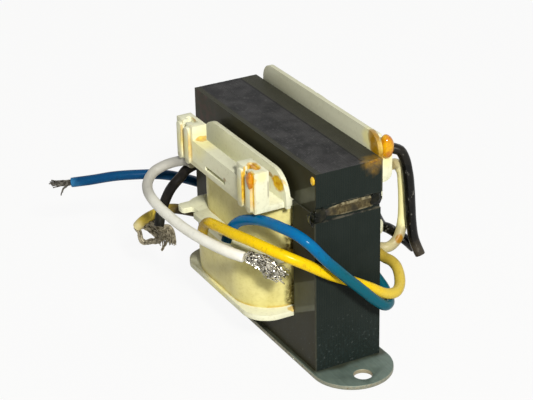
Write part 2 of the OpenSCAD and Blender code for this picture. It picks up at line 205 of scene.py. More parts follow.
class Graph(Nodes):
    """The node tree of one material, around a Principled shader."""

    # Places of the colour sockets on a Mix node
    MIX_FIRST, MIX_SECOND, MIX_RESULT = 6, 7, 2
    # Width of the noise that makes an edge ragged, in millimetres
    RAGGED_SIZE = 1.6

    def __init__(self, name: str) -> None:
        """Start an empty material.

        Args:
            name: its name.
        """
        self.material = bpy.data.materials.new(name)
        self.material.use_nodes = True
        super().__init__(self.material.node_tree)
        self.output = self.tree.nodes.new("ShaderNodeOutputMaterial")
        self.shader = self.tree.nodes.new("ShaderNodeBsdfPrincipled")
        self.tree.links.new(self.shader.outputs[0], self.output.inputs[0])
        self._place: Optional[Shade] = None

    @property
    def place(self) -> Shade:
        """Position in the part's frame.

        Returns:
            The position, in metres.
        """
        if self._place is None:
            self._place = self.add("ShaderNodeTexCoord", output="Object")
        return self._place

    def axis(self, letter: str) -> Shade:
        """One coordinate of the position, in millimetres."""
        part = self.add("ShaderNodeSeparateXYZ", inputs={0: self.place}, output=letter)
        return part * (1.0 / MM)

    def facing(self, letter: str) -> Shade:
        """One component of the surface's own normal."""
        normal = self.add("ShaderNodeTexCoord", output="Normal")
        return self.add("ShaderNodeSeparateXYZ", inputs={0: normal}, output=letter)

    def grain(self, size: float, detail: float, stretch: Triple = (1.0, 1.0, 1.0)) -> Shade:
        """Soft noise over the surface.

        Args:
            size: width of its spots in millimetres.
            detail: how many finer layers it has.
            stretch: factors on the coordinates, below 1 where the spots are drawn out.

        Returns:
            A value from 0 to 1 that is 0.5 on average.
        """
        vector = self.add(
            "ShaderNodeVectorMath", {"operation": "MULTIPLY"}, {0: self.place, 1: stretch}
        )
        return self.add(
            "ShaderNodeTexNoise",
            inputs={"Vector": vector, "Scale": 1.0 / (size * MM), "Detail": detail},
        )

    def near(
        self,
        centre: Triple,
        reach: float,
        soft: float,
        ragged: float,
        squash: Triple = (1.0, 1.0, 1.0),
    ) -> Shade:
        """Mask that is 1 close to a point.

        Args:
            centre: the point, in millimetres.
            reach: distance at which the mask has gone.
            soft: width of its edge, in millimetres.
            ragged: how far noise shifts that edge, in millimetres.
            squash: factors on the distance along each axis, above 1 where the mask is flattened.

        Returns:
            The mask, from 0 to 1.
        """
        point = tuple(c * MM for c in centre)
        away = self.add("ShaderNodeVectorMath", {"operation": "SUBTRACT"}, {0: self.place, 1: point})
        away = self.add("ShaderNodeVectorMath", {"operation": "MULTIPLY"}, {0: away, 1: squash})
        far = self.add("ShaderNodeVectorMath", {"operation": "LENGTH"}, {0: away}, "Value")
        far = far * (1.0 / MM)
        far = far + (self.grain(self.RAGGED_SIZE, 2.0) - 0.5) * (2.0 * ragged)
        return far.rise(reach, reach - soft)

    def along(self) -> Shade:
        """Distance along a lead from where it starts, in millimetres."""
        return self.add("ShaderNodeAttribute", {"attribute_name": "along"}, output="Fac")

    def mix(self, first: Colour, second: Colour, share: Number) -> Shade:
        """Blend two colours by a share from 0 to 1."""
        colours = {0: share, self.MIX_FIRST: first, self.MIX_SECOND: second}
        return self.add("ShaderNodeMix", {"data_type": "RGBA"}, colours, self.MIX_RESULT)

    def bump(self, height: Shade, depth: float, strength: float = 1.0) -> None:
        """Roughen the surface.

        Args:
            height: the relief, from 0 to 1.
            depth: how deep it is, in millimetres.
            strength: share of it that shows.
        """
        normal = self.add(
            "ShaderNodeBump", inputs={"Height": height, "Distance": depth * MM, "Strength": strength}
        )
        self.set(self.shader.inputs["Normal"], normal)

    def coat(self, **values: Union[Number, Colour]) -> None:
        """Set sockets of the shader by their names, with _ for each space."""
        for name, value in values.items():
            self.set(self.shader.inputs[name.replace("_", " ")], value)


@dataclass(frozen=True)
class Finish:
    """A surface finish that becomes one material."""

    label: str
    slot: str

    def paint(self, g: Graph) -> None:
        """Lay the finish's nodes into a graph."""
        raise NotImplementedError

    def material(self) -> bpy.types.Material:
        """Give the finish's material, made when it is first asked for.

        Returns:
            The material.
        """
        known = bpy.data.materials.get(self.label)
        if known is not None:
            return known
        graph = Graph(self.label)
        self.paint(graph)
        return graph.material


@dataclass(frozen=True)
class PlateSteel(Finish):
    """Dull grey-green steel of the foot plate, with a painted highlight along its edges."""

    label: str = "plate_steel_worn"
    slot: str = "plate_steel"
    dark: Triple = (0.105, 0.145, 0.122)
    pale: Triple = (0.165, 0.215, 0.185)
    # Paler colour of the sides, a painted highlight
    edge: Triple = (0.31, 0.295, 0.22)
    stain: Triple = (0.13, 0.105, 0.05)
    # Varnish crept out beside the core, also used as painted shade under the coil
    creep_and_shade: Triple = (0.030, 0.030, 0.014)
    rust: Triple = (0.16, 0.095, 0.03)
    bore: Triple = (0.34, 0.29, 0.19)
    # Distance of the screw holes from the middle
    hole_x: float = 40.0

    def paint(self, g: Graph) -> None:
        """Mottled steel with rolling streaks, varnish by the core, painted shade under the coil and a
        painted highlight on the rim.

        Args:
            g: the graph of its material.
        """
        x, y = g.axis("X").size(), g.axis("Y").size()
        cloud = g.grain(7.0, 4.0)
        streak = g.grain(0.5, 3.0, (0.12, 1.0, 1.0))
        base = g.mix(self.dark, self.pale, (cloud * 0.7 + streak * 0.5).rise(0.35, 0.9))
        stain = g.grain(3.0, 4.0).rise(0.62, 0.8) * 0.5
        base = g.mix(base, self.stain, stain)
        # Varnish that has crept out from under the core, and painted shade on the plate under the coil
        creep_and_shade = x + (cloud - 0.5) * 5.0
        beside = creep_and_shade.rise(35.0, 32.6) * y.rise(10.9, 10.3)
        base = g.mix(base, self.creep_and_shade, beside.most(creep_and_shade.rise(24.0, 20.0)) * 0.85)
        # Sides paler as a painted highlight, with rust, and the inside of the screw holes
        side = g.facing("Z").size().rise(0.85, 0.35)
        speck = g.grain(0.9, 3.0).rise(0.3, 0.6)
        base = g.mix(base, self.edge, side * (0.40 + speck * 0.45))
        rust = g.grain(1.1, 3.0).rise(0.58, 0.7)
        base = g.mix(base, self.rust, side * rust * 0.7)
        bore = side * (x - self.hole_x).size().rise(3.2, 2.6) * y.rise(2.9, 2.5)
        base = g.mix(base, self.bore, bore * 0.8)
        g.coat(
            Base_Color=base,
            Metallic=0.35,
            Roughness=0.42 + cloud * 0.18 + streak * 0.1,
            Specular_IOR_Level=0.35,
        )
        g.bump(streak * 0.6 + cloud * 0.4, 0.03, 0.5)


@dataclass(frozen=True)
class CoreVarnish(Finish):
    """Black impregnating varnish over lamination edges."""

    label: str = "core_varnish_black"
    slot: str = "core_varnish"
    deep: Triple = (0.008, 0.013, 0.011)
    thin: Triple = (0.017, 0.023, 0.021)
    brown: Triple = (0.030, 0.026, 0.010)
    film: Triple = (0.085, 0.088, 0.060)
    scorch: Triple = (0.050, 0.026, 0.017)
    bloom: Triple = (0.018, 0.030, 0.030)
    dust: Triple = (0.085, 0.092, 0.085)
    scraped: Triple = (0.26, 0.235, 0.17)
    amber: Triple = (0.22, 0.118, 0.002)
    worn: Triple = (0.10, 0.094, 0.065)
    # Colours of the top: its mottled field, the flecks on it, the strips beside it and the line between
    field_dark: Triple = (0.013, 0.013, 0.014)
    field_pale: Triple = (0.052, 0.051, 0.053)
    fleck: Triple = (0.16, 0.16, 0.16)
    strip: Triple = (0.046, 0.046, 0.030)
    seam: Triple = (0.004, 0.004, 0.003)
    seam_y: float = 4.4
    # Dried film: heights of its two patches where it starts beside the coil, and their slant
    film_x: float = 25.0
    film_high: float = 47.1
    film_low: float = 19.0
    film_slant: float = 0.55
    # Places of the scorched scale and of the amber
    scorch_at: Triple = (-29.0, -9.6, 51.0)
    amber_at: Triple = (33.2, 7.4, 56.2)

    def paint(self, g: Graph) -> None:
        """Near-black coat with sheet lines, a dusty top, brown film in front and amber at a corner.

        Args:
            g: the graph of its material.
        """
        x, y, z = g.axis("X"), g.axis("Y"), g.axis("Z")
        cloud, patch, fine = g.grain(5.0, 4.0), g.grain(2.2, 3.0), g.grain(0.7, 3.0)
        front = g.facing("Y").size().rise(0.5, 0.9)
        top = g.facing("Z").rise(0.6, 0.9)
        base = g.mix(self.deep, self.thin, cloud)
        base = g.mix(base, self.brown, front * (0.45 + cloud * 0.6))
        base = self.upper_face(g, base, top, y, cloud, fine)
        # Thin film dried on the front beside the coil, with slanting edges
        slant = z - (x - self.film_x) * self.film_slant + (patch - 0.5) * 0.5
        high = (slant - self.film_high).size().rise(2.1, 1.8) * x.rise(32.7, 32.2)
        low = (slant - self.film_low).size().rise(4.5, 4.1) * x.rise(32.9, 32.5)
        film = high.most(low * (0.7 + slant.rise(16.6, 16.0) * 0.6)) * x.rise(22.0, 23.0)
        base = g.mix(base, self.film, film * front * (0.4 + patch * 0.5))
        # Scorched brown scale at the upper left
        scale = g.near(self.scorch_at, 11.0, 6.0, 2.0) * patch.rise(0.42, 0.62)
        base = g.mix(base, self.scorch, scale * front * 0.8)
        # Bluish bloom and dust low on the ends
        bloom = (1.0 - front) * z.rise(19.0, 3.0) * fine.rise(0.35, 0.7) * g.facing("X").rise(0.5, 0.9)
        base = g.mix(base, self.bloom, bloom * 0.6)
        dust = fine.rise(0.62, 0.72) * z.rise(24.0, 5.0) * (1.0 - top)
        base = g.mix(base, self.dust, dust * 0.55)
        # Scraped lips of the weld groove
        from_joint = (z - JOINT_Z).size()
        lip = (from_joint - 0.5 * GROOVE_H).size().rise(0.22, 0.06) * x.size().rise(32.2, 32.45)
        base = g.mix(base, self.scraped, lip * patch.rise(0.42, 0.6) * 0.4)
        # Amber that has run over the upper corner
        amber = g.near(self.amber_at, 4.4, 2.9, 1.4)
        base = g.mix(base, self.amber, amber * (0.2 + patch.rise(0.3, 0.65) * 0.8))
        # Worn vertical corners
        worn = x.size().rise(32.75, 32.95) * (y + 0.1).size().rise(9.25, 9.45) * (0.2 + patch * 0.7)
        base = g.mix(base, self.worn, worn * (1.0 - top) * 0.6)
        sheets = (y * (FULL_TURN / SHEET_T)).wave() * 0.5 + 0.5
        g.coat(
            Base_Color=base,
            Roughness=0.34 + cloud * 0.2 + top * 0.12 - amber * 0.2,
            Specular_IOR_Level=0.08,
            Coat_Weight=amber * 0.8 + film * front * 0.2,
            Coat_Roughness=0.12,
        )
        g.bump(sheets * (1.0 - front) * 0.12 + cloud * 0.6 + patch * 0.25, 0.05, 0.5)

    def upper_face(
        self, g: Graph, base: Shade, top: Shade, y: Shade, cloud: Shade, fine: Shade
    ) -> Shade:
        """Colour of the core's top: a dark mottled field between two olive strips.

        Args:
            g: the graph.
            base: colour below.
            top: mask of the faces that look up.
            y: place across the top.
            cloud: broad noise.
            fine: close noise.

        Returns:
            The colour.
        """
        field = g.mix(self.field_dark, self.field_pale, cloud.rise(0.3, 0.7))
        field = g.mix(field, self.fleck, fine.rise(0.56, 0.76) * 0.4)
        edge = y.rise(-7.4, -8.2).most(y.rise(self.seam_y, self.seam_y + 0.6))
        field = g.mix(field, self.strip, edge * (0.55 + cloud * 0.5))
        line = (y - self.seam_y).size().rise(0.28, 0.08)
        field = g.mix(field, self.seam, line * 0.8)
        return g.mix(base, field, top)


@dataclass(frozen=True)
class WeldMetal(Finish):
    """Rough brown-grey metal of the weld beads."""

    label: str = "weld_metal_rough"
    slot: str = "weld_metal"
    dark: Triple = (0.038, 0.027, 0.009)
    pale: Triple = (0.115, 0.092, 0.042)
    rim: Triple = (0.27, 0.235, 0.14)
    burnt: Triple = (0.010, 0.009, 0.006)

    def paint(self, g: Graph) -> None:
        """Scaled metal with pale rims, burnt patches and dark glossy ends.

        Args:
            g: the graph of its material.
        """
        y, z = g.axis("Y"), g.axis("Z")
        scale = g.grain(0.6, 4.0)
        burn = g.grain(2.4, 3.0)
        base = g.mix(self.dark, self.pale, scale.rise(0.3, 0.75))
        rim = (z - JOINT_Z).size().rise(0.9, 1.25) * burn.rise(0.36, 0.5)
        base = g.mix(base, self.rim, rim * 0.8)
        dark = y.rise(-4.0, -6.5).most(y.rise(6.2, 7.2))
        base = g.mix(base, self.burnt, (burn.rise(0.52, 0.68) * 0.8).most(dark * 0.85))
        g.coat(
            Base_Color=base,
            Roughness=0.40 + scale * 0.25 - dark * 0.25,
            Specular_IOR_Level=0.2,
            Coat_Weight=dark * 0.4,
            Coat_Roughness=0.1,
        )
        g.bump(scale, 0.10, 0.8)


@dataclass(frozen=True)
class BobbinPlastic(Finish):
    """Cream moulded plastic with runs of amber varnish."""

    label: str = "bobbin_plastic_cream"
    slot: str = "bobbin_plastic"
    cream: Triple = (0.80, 0.80, 0.60)
    shade: Triple = (0.69, 0.68, 0.46)
    amber: Triple = (0.58, 0.28, 0.001)
    honey: Triple = (0.78, 0.53, 0.03)
    yellow: Triple = (0.88, 0.78, 0.22)
    brown: Triple = (0.22, 0.11, 0.012)
    ochre: Triple = (0.33, 0.168, 0.0)
    dust: Triple = (0.40, 0.36, 0.20)
    back_wall_grey: Triple = (0.56, 0.56, 0.43)
    # Grey-brown of dirt, also used for painted shadow
    dirt_and_shade: Triple = (0.33, 0.30, 0.20)
    # Lower edge of the front wall, a painted shadow line along the back edge of the front post, and a patch
    # of dirt and shade under the coil
    hem_z: float = 44.2
    post_shadow_at: Triple = (21.7, -16.3, 49.6)
    post_shadow_y: float = -16.35
    flange_patch_at: Triple = (-20.5, -17.0, 12.9)
    # Sides of the lead-post ribs that varnish has run down
    runs: Tuple[float, ...] = (-18.1, -13.8, 16.3, 20.8)
    # Places where varnish has pooled: centre, reach, flattening and strength
    pools: Tuple[Tuple[Triple, float, Triple, float], ...] = (
        ((-12.4, -17.6, 50.7), 2.0, (1.0, 1.0, 2.6), 0.75),
        ((-17.4, -17.8, 54.4), 2.0, (1.0, 2.0, 1.0), 0.7),
        ((17.2, -17.9, 54.4), 2.9, (1.0, 1.6, 1.0), 0.95),
        ((20.2, -20.6, 52.6), 2.2, (1.0, 1.0, 1.0), 1.0),
        ((18.7, -12.0, 48.9), 2.6, (0.75, 1.0, 1.15), 1.0),
        ((29.9, 10.6, 56.6), 2.6, (1.6, 1.0, 0.55), 0.65),
        ((21.6, 17.7, 52.8), 3.4, (1.0, 1.0, 1.0), 1.0),
        ((20.5, -9.5, 29.4), 3.0, (1.0, 1.0, 1.0), 0.9),
        ((20.9, -9.6, 13.8), 1.6, (1.0, 1.0, 1.6), 0.7),
        ((-19.0, -20.2, 28.4), 1.3, (1.0, 1.0, 1.0), 0.5),
    )
    # Places where it has soaked in and darkened
    soaks: Tuple[Tuple[Triple, float, Triple, float], ...] = (
        ((14.2, -12.0, 49.9), 1.2, (0.5, 1.0, 1.8), 0.8),
        ((26.6, 10.3, 59.8), 2.5, (1.3, 1.0, 0.8), 0.85),
        ((27.8, 10.3, 57.6), 3.0, (1.3, 1.0, 0.6), 0.95),
        ((28.8, 10.3, 55.4), 2.6, (1.0, 1.0, 0.8), 0.95),
        ((5.6, -20.2, 46.5), 0.9, (0.8, 1.0, 1.4), 0.8),
    )
    # Places with a soft yellow tinge: centre and reach
    tinges: Tuple[Tuple[Triple, float], ...] = (
        ((21.7, -18.2, 53.2), 2.4),
        ((-9.5, -18.4, 50.7), 6.5),
        ((-17.0, -20.5, 48.5), 5.0),
        ((15.5, -20.5, 48.0), 5.0),
        ((25.0, 10.3, 58.5), 4.0),
        ((30.0, 11.2, 57.0), 3.6),
        ((22.6, 17.8, 49.6), 3.2),
        ((0.0, -20.5, 13.9), 9.0),
    )

    def paint(self, g: Graph) -> None:
        """Slightly mottled plastic with amber down the ribs and in the pools.

        Args:
            g: the graph of its material.
        """
        y, z = g.axis("Y"), g.axis("Z")
        cloud, fine = g.grain(9.0, 3.0), g.grain(0.35, 2.0)
        base = g.mix(self.cream, self.shade, cloud.rise(0.4, 0.75) * 0.5)
        # Dust, thicker along the lower edge of the front wall
        dust = g.grain(1.0, 4.0).rise(0.52, 0.72) * 0.22
        hem = y.rise(-19.4, -20.0) * (z - self.hem_z).size().rise(0.9, 0.2) * cloud.rise(0.3, 0.6) * 0.5
        base = g.mix(base, self.dust, dust.most(hem))
        # The back wall, greyer and darker
        base = g.mix(base, self.back_wall_grey, y.rise(9.0, 10.0) * y.rise(13.0, 12.5) * 0.5)
        for centre, reach in self.tinges:
            tinge = g.near(centre, reach, reach * 0.8, 1.0)
            base = g.mix(base, self.yellow, tinge * (0.25 + cloud * 0.5))
        wet = self.ribs(g)
        for centre, reach, squash, strength in self.pools:
            wet = wet.most(g.near(centre, reach, reach * 0.35, 0.8, squash) * strength)
        depth = g.grain(1.3, 3.0).rise(0.3, 0.7)
        base = g.mix(base, g.mix(self.honey, self.amber, depth), wet)
        for centre, reach, squash, strength in self.soaks:
            dark_patch = g.near(centre, reach, reach * 0.45, 0.6, squash) * strength
            base = g.mix(base, self.ochre, dark_patch * (0.85 + depth * 0.15))
            wet = wet.most(dark_patch)
        # Brown rims where a pool has thinned out, a painted shadow line along the front post's back edge,
        # and dirt and shade under the coil
        rim = (wet - 0.4).size().rise(0.25, 0.05) * fine.rise(0.3, 0.5)
        base = g.mix(base, self.brown, rim * 0.2)
        corner = g.near(self.post_shadow_at, 2.8, 1.2, 0.4) * (y - self.post_shadow_y).size().rise(0.4, 0.08)
        dirt_and_shade = g.near(self.flange_patch_at, 7.0, 5.0, 2.0) * 0.7
        base = g.mix(base, self.dirt_and_shade, (corner * 0.7).most(dirt_and_shade * (0.3 + cloud * 0.8)))
        g.coat(Base_Color=base, Roughness=0.48 + fine * 0.1 - wet * 0.3, Specular_IOR_Level=0.25)
        g.bump(fine * 0.4 + cloud * 0.4 + wet * 0.9, 0.03, 0.5)

    def ribs(self, g: Graph) -> Shade:
        """Lay streaks that have run down beside the ribs of the front posts.

        Args:
            g: the graph of the material.

        Returns:
            Their mask, from 0 to 1.
        """
        x, y, z = g.axis("X"), g.axis("Y"), g.axis("Z")
        beside = (x - self.runs[0] - 0.3).size().rise(0.75, 0.3)
        for wall in self.runs[1:]:
            beside = beside.most((x - wall - 0.3).size().rise(0.75, 0.3))
        streak = g.grain(1.5, 3.0, (1.0, 1.0, 0.18)).rise(0.28, 0.5)
        right = 0.55 + x.rise(-5.0, 5.0) * 0.4
        return beside * y.rise(-19.6, -20.0) * z.rise(43.4, 46.5) * streak * right


@dataclass(frozen=True)
class CoilTape(Finish):
    """Pale yellow polyester tape over the turns of a winding."""

    # Height of the lower edge, and of one turn of the wire below
    foot: float
    pitch: float = 0.62
    pale: Triple = (0.77, 0.70, 0.29)
    deep: Triple = (0.54, 0.46, 0.14)
    hem: Triple = (0.56, 0.36, 0.03)
    olive_dark: Triple = (0.085, 0.062, 0.010)

    def paint(self, g: Graph) -> None:
        """Tape tinted by the wire below it, with creases, grain and varnish at its lower edge.

        Args:
            g: the graph of its material.
        """
        z = g.axis("Z")
        cloud, fine = g.grain(6.0, 3.0), g.grain(0.8, 3.0)
        crease = g.grain(1.4, 3.0, (1.0, 1.0, 0.22))
        turns = (z * (FULL_TURN / self.pitch) + cloud * 3.0).wave() * 0.5 + 0.5
        tone = cloud.rise(0.35, 0.8) * 0.6 + fine.rise(0.45, 0.75) * 0.3 + turns * 0.05
        base = g.mix(self.pale, self.deep, tone)
        # Varnish soaked up at the foot, and a darker olive patch where the tape runs into the core
        foot = z.rise(self.foot + 1.0, self.foot) * g.grain(2.6, 3.0).rise(0.34, 0.55)
        base = g.mix(base, self.hem, foot * 0.75)
        dark_patch = g.near((18.8, -8.4, self.foot + 3.2), 5.0, 2.4, 1.4, (1.0, 1.7, 0.8))
        base = g.mix(base, self.olive_dark, dark_patch * (0.35 + fine.rise(0.3, 0.6) * 0.6))
        g.coat(
            Base_Color=base,
            Roughness=0.34 + crease * 0.2,
            Specular_IOR_Level=0.3,
            Coat_Weight=0.12,
            Coat_Roughness=0.25,
        )
        g.bump(crease * 0.6 + turns * 0.15 + fine * 0.3, 0.06, 0.5)


@dataclass(frozen=True)
class CopperWire(Finish):
    """Close-wound enamelled copper."""

    label: str = "copper_wire_enamel"
    slot: str = "copper_wire"
    dark: Triple = (0.33, 0.10, 0.03)
    pale: Triple = (0.58, 0.22, 0.08)
    pitch: float = 0.6

    def paint(self, g: Graph) -> None:
        """Turns of wire stacked up the bobbin.

        Args:
            g: the graph of its material.
        """
        turns = (g.axis("Z") * (FULL_TURN / self.pitch)).wave() * 0.5 + 0.5
        tone = g.grain(4.0, 3.0)
        g.coat(
            Base_Color=g.mix(self.dark, self.pale, tone * turns),
            Metallic=0.8,
            Roughness=0.25 + tone * 0.2,
        )
        g.bump(turns, 0.12)


@dataclass(frozen=True)
class InnerTape(Finish):
    """Thin tape between two windings."""

    label: str = "inner_tape_amber"
    slot: str = "inner_tape"
    deep: Triple = (0.52, 0.38, 0.10)
    pale: Triple = (0.66, 0.52, 0.2)

    def paint(self, g: Graph) -> None:
        """Amber film with creases.

        Args:
            g: the graph of its material.
        """
        crease = g.grain(1.2, 3.0, (1.0, 1.0, 0.25))
        g.coat(
            Base_Color=g.mix(self.deep, self.pale, crease),
            Roughness=0.3 + crease * 0.2,
        )
        g.bump(crease, 0.05, 0.5)


@dataclass(frozen=True)
class WireInsulation(Finish):
    """Vinyl insulation of a hook-up lead, tinted near the coil and at its far end. On some leads these
    tints are painted shade, and on the ochre lead the far end is a painted highlight.
    """

    colour: Triple
    worn: Triple
    # Colour near the coil, and how far along the lead it fades out
    tint: Triple
    tint_to: float
    # Colour of the first stretch, dirt on most leads, and how far along it reaches
    grime: Triple
    grime_to: float = 4.0
    # Colour of the specks where it isn't that of the grime; on the black leads they are pale and also serve
    # as painted glints
    fleck: Optional[Triple] = None
    # Colour of the far end, and the length from which it shows
    end: Triple = (0.12, 0.09, 0.03)
    end_at: float = 1000.0
    # Place of a burnt spot, and its colour
    burn: Optional[Triple] = None
    scorch: Triple = (0.36, 0.17, 0.008)
    # Roughness, strength of the reflection and strength of the specks
    gloss: float = 0.3
    shine: float = 0.25
    specks: float = 0.25

    def paint(self, g: Graph) -> None:
        """Drawn vinyl with faint mottling, a tint that fades from the coil and ends of another colour,
        dirty on most leads, painted shade on some and a painted highlight on one.

        Args:
            g: the graph of its material.
        """
        cloud, fine = g.grain(3.5, 4.0), g.grain(0.45, 3.0)
        base = g.mix(self.colour, self.worn, cloud.rise(0.42, 0.78) * 0.8)
        run = g.along() + (cloud - 0.5) * 6.0
        # The tint near the coil is painted shade on the white and the navy leads
        base = g.mix(base, self.tint, run.rise(self.tint_to, self.tint_to * 0.75))
        dirt_and_shade = run.rise(self.grime_to, self.grime_to * 0.125)
        speck = g.grain(1.1, 4.0, (1.0, 1.0, 0.5)).rise(0.60, 0.70) * self.specks
        base = g.mix(base, self.grime, dirt_and_shade * (0.5 + cloud * 0.5))
        # On the black leads the pale specks are whitish scuffs that also serve as painted glints
        base = g.mix(base, self.fleck or self.grime, speck)
        # The far end's colour is painted shade on the bright blue and bright yellow leads, and a painted
        # highlight on the ochre lead
        base = g.mix(base, self.end, run.rise(self.end_at, self.end_at + 4.0) * (0.5 + cloud * 0.6))
        if self.burn:
            base = g.mix(base, self.scorch, g.near(self.burn, 1.5, 0.6, 0.6))
        g.coat(
            Base_Color=base,
            Roughness=self.gloss + fine * 0.14 + dirt_and_shade * 0.15,
            Specular_IOR_Level=self.shine,
        )
        g.bump(cloud * 0.6 + fine * 0.4, 0.05, 0.35)


class Insulation(Enum):
    """Colours of the hook-up leads, with the soiling of each and, on some, painted shade and highlight."""

    # Its grey tint over the first 31 mm is painted shade on the loop that turns away from the light
    WHITE = WireInsulation(
        "white_vinyl", "white_insulation", (0.82, 0.815, 0.75), (0.72, 0.71, 0.63),
        tint=(0.46, 0.45, 0.41), tint_to=31.0, grime=(0.25, 0.235, 0.20), gloss=0.34, specks=0.1,
    )
    # Its pale flecks are whitish scuffs that also stand in for glints, a painted highlight
    BLACK = WireInsulation(
        "black_vinyl", "black_insulation", (0.004, 0.004, 0.0035), (0.012, 0.011, 0.009),
        tint=(0.010, 0.009, 0.007), tint_to=6.0, grime=(0.012, 0.010, 0.007), fleck=(0.26, 0.25, 0.22),
        end=(0.06, 0.05, 0.036), end_at=27.0, gloss=0.07, shine=0.18, specks=0.55,
    )
    SOOT = WireInsulation(
        "soot_vinyl", "black_insulation", (0.008, 0.007, 0.006), (0.017, 0.014, 0.011),
        tint=(0.010, 0.009, 0.007), tint_to=6.0, grime=(0.03, 0.024, 0.017), end=(0.022, 0.022, 0.018),
        end_at=25.0, gloss=0.34, shine=0.1, specks=0.3,
    )
    CREAM = WireInsulation(
        "cream_vinyl", "cream_insulation", (0.96, 0.91, 0.47), (0.88, 0.80, 0.36),
        tint=(0.88, 0.82, 0.48), tint_to=6.0, grime=(0.30, 0.22, 0.09), end=(0.33, 0.27, 0.15), end_at=18.0,
        burn=(21.7, 22.2, 25.8), gloss=0.34,
    )
    # Its dark last stretch is painted shade where it runs down behind the yellow and white leads
    BLUE = WireInsulation(
        "blue_vinyl", "blue_insulation", (0.0, 0.122, 0.335), (0.0, 0.150, 0.30),
        tint=(0.003, 0.098, 0.142), tint_to=53.0, grime=(0.004, 0.05, 0.06), end=(0.004, 0.03, 0.05),
        end_at=80.0, gloss=0.05, shine=0.1, specks=0.3,
    )
    # Its dark tint over the first 47 mm is painted shade where it runs behind and round the core
    NAVY = WireInsulation(
        "navy_vinyl", "blue_insulation", (0.0, 0.050, 0.150), (0.0, 0.070, 0.17),
        tint=(0.0, 0.020, 0.050), tint_to=47.0, grime=(0.003, 0.02, 0.035), end=(0.03, 0.17, 0.36),
        end_at=73.5, gloss=0.18, shine=0.12, specks=0.2,
    )
    # Its darker last stretch is painted shade where it bends down
    YELLOW = WireInsulation(
        "yellow_vinyl", "yellow_insulation", (0.82, 0.55, 0.002), (0.70, 0.44, 0.004),
        tint=(0.60, 0.445, 0.06), tint_to=32.0, grime=(0.22, 0.145, 0.02), grime_to=15.0,
        fleck=(0.36, 0.21, 0.012), end=(0.30, 0.19, 0.01), end_at=82.0, gloss=0.2, shine=0.14, specks=0.4,
    )
    # Its pale last stretch is a painted highlight on the curl at the cut
    OCHRE = WireInsulation(
        "ochre_vinyl", "yellow_insulation", (0.60, 0.45, 0.06), (0.40, 0.28, 0.04),
        tint=(0.062, 0.042, 0.010), tint_to=23.5, grime=(0.09, 0.06, 0.015), end=(0.78, 0.70, 0.40),
        end_at=27.5, gloss=0.34, shine=0.2, specks=0.5,
    )


@dataclass(frozen=True)
class TinnedCopper(Finish):
    """Tinned copper strands, dulled by handling."""

    label: str = "tinned_copper_bright"
    slot: str = "tinned_copper"
    pale: Triple = (0.70, 0.67, 0.58)
    dull: Triple = (0.045, 0.038, 0.02)
    metal: float = 0.85
    rough: float = 0.1
    # Tint of what the strands mirror at a low angle
    rim: Triple = (0.45, 0.43, 0.36)

    def paint(self, g: Graph) -> None:
        """Bright metal with tarnished stretches.

        Args:
            g: the graph of its material.
        """
        tarnish = g.grain(0.8, 4.0)
        g.coat(
            Base_Color=g.mix(self.pale, self.dull, tarnish.rise(0.42, 0.66)),
            Metallic=self.metal,
            Roughness=self.rough + tarnish * 0.25,
            Specular_Tint=self.rim,
        )
        g.bump(tarnish, 0.02, 0.4)


class Conductor(Enum):
    """States of the bare strands."""

    BRIGHT = TinnedCopper()
    SOILED = TinnedCopper(
        "tinned_copper_soiled", "tinned_copper", pale=(0.37, 0.33, 0.24), dull=(0.11, 0.092, 0.058),
        metal=0.4, rough=0.42,
    )
    DARK = TinnedCopper(
        "tinned_copper_dark", "tinned_copper", pale=(0.16, 0.15, 0.13), dull=(0.03, 0.026, 0.02),
        metal=0.5, rough=0.35,
    )


@dataclass(frozen=True)
class AmberVarnish(Finish):
    """Set amber varnish in glossy beads."""

    label: str = "amber_varnish_set"
    slot: str = "amber_varnish"
    pale: Triple = (0.70, 0.36, 0.002)
    deep: Triple = (0.52, 0.17, 0.001)

    def paint(self, g: Graph) -> None:
        """Cloudy amber under a clear gloss.

        Args:
            g: the graph of its material.
        """
        depth = g.grain(2.2, 3.0)
        g.coat(
            Base_Color=g.mix(self.pale, self.deep, depth.rise(0.35, 0.65)),
            Roughness=0.16 + depth * 0.08,
            Specular_IOR_Level=0.2,
            Coat_Weight=0.35,
            Coat_Roughness=0.05,
        )
        g.bump(depth, 0.05, 0.3)


class Varnish(Enum):
    """Kinds of set varnish."""

    AMBER = AmberVarnish()
    HONEY = AmberVarnish("honey_varnish_set", "amber_varnish", (0.86, 0.58, 0.03), (0.66, 0.36, 0.006))
    DEEP = AmberVarnish("deep_varnish_set", "amber_varnish", (0.36, 0.185, 0.003), (0.17, 0.075, 0.002))


@dataclass(frozen=True)
class BlackVarnish(Finish):
    """Thick black varnish that has run over the core's edges."""

    label: str = "black_varnish_run"
    slot: str = "core_varnish"
    deep: Triple = (0.004, 0.005, 0.003)
    thin: Triple = (0.020, 0.019, 0.009)

    def paint(self, g: Graph) -> None:
        """Glossy black with a brown cast where it is thin.

        Args:
            g: the graph of its material.
        """
        depth = g.grain(1.8, 3.0)
        g.coat(
            Base_Color=g.mix(self.deep, self.thin, depth.rise(0.4, 0.75)),
            Roughness=0.12 + depth * 0.1,
            Specular_IOR_Level=0.1,
            Coat_Weight=0.08,
            Coat_Roughness=0.06,
        )
        g.bump(depth, 0.08, 0.4)


# Mesh making

# Shortest length that is divided by
TINY = 1e-9
# Steps of a smooth curve between two points of its route
CURVE_STEPS = 24
# Upward share of a direction above which a line counts as upright
UPRIGHT = 0.9
# Rounding of a solid's edges: merging distance in millimetres, angles in degrees and faces across
MERGE = 0.002
FLAT_ANGLE = 0.5
CORNER_ANGLE = 40.0
SMOOTH_ANGLE = 50.0
ROUND_FACES = 2


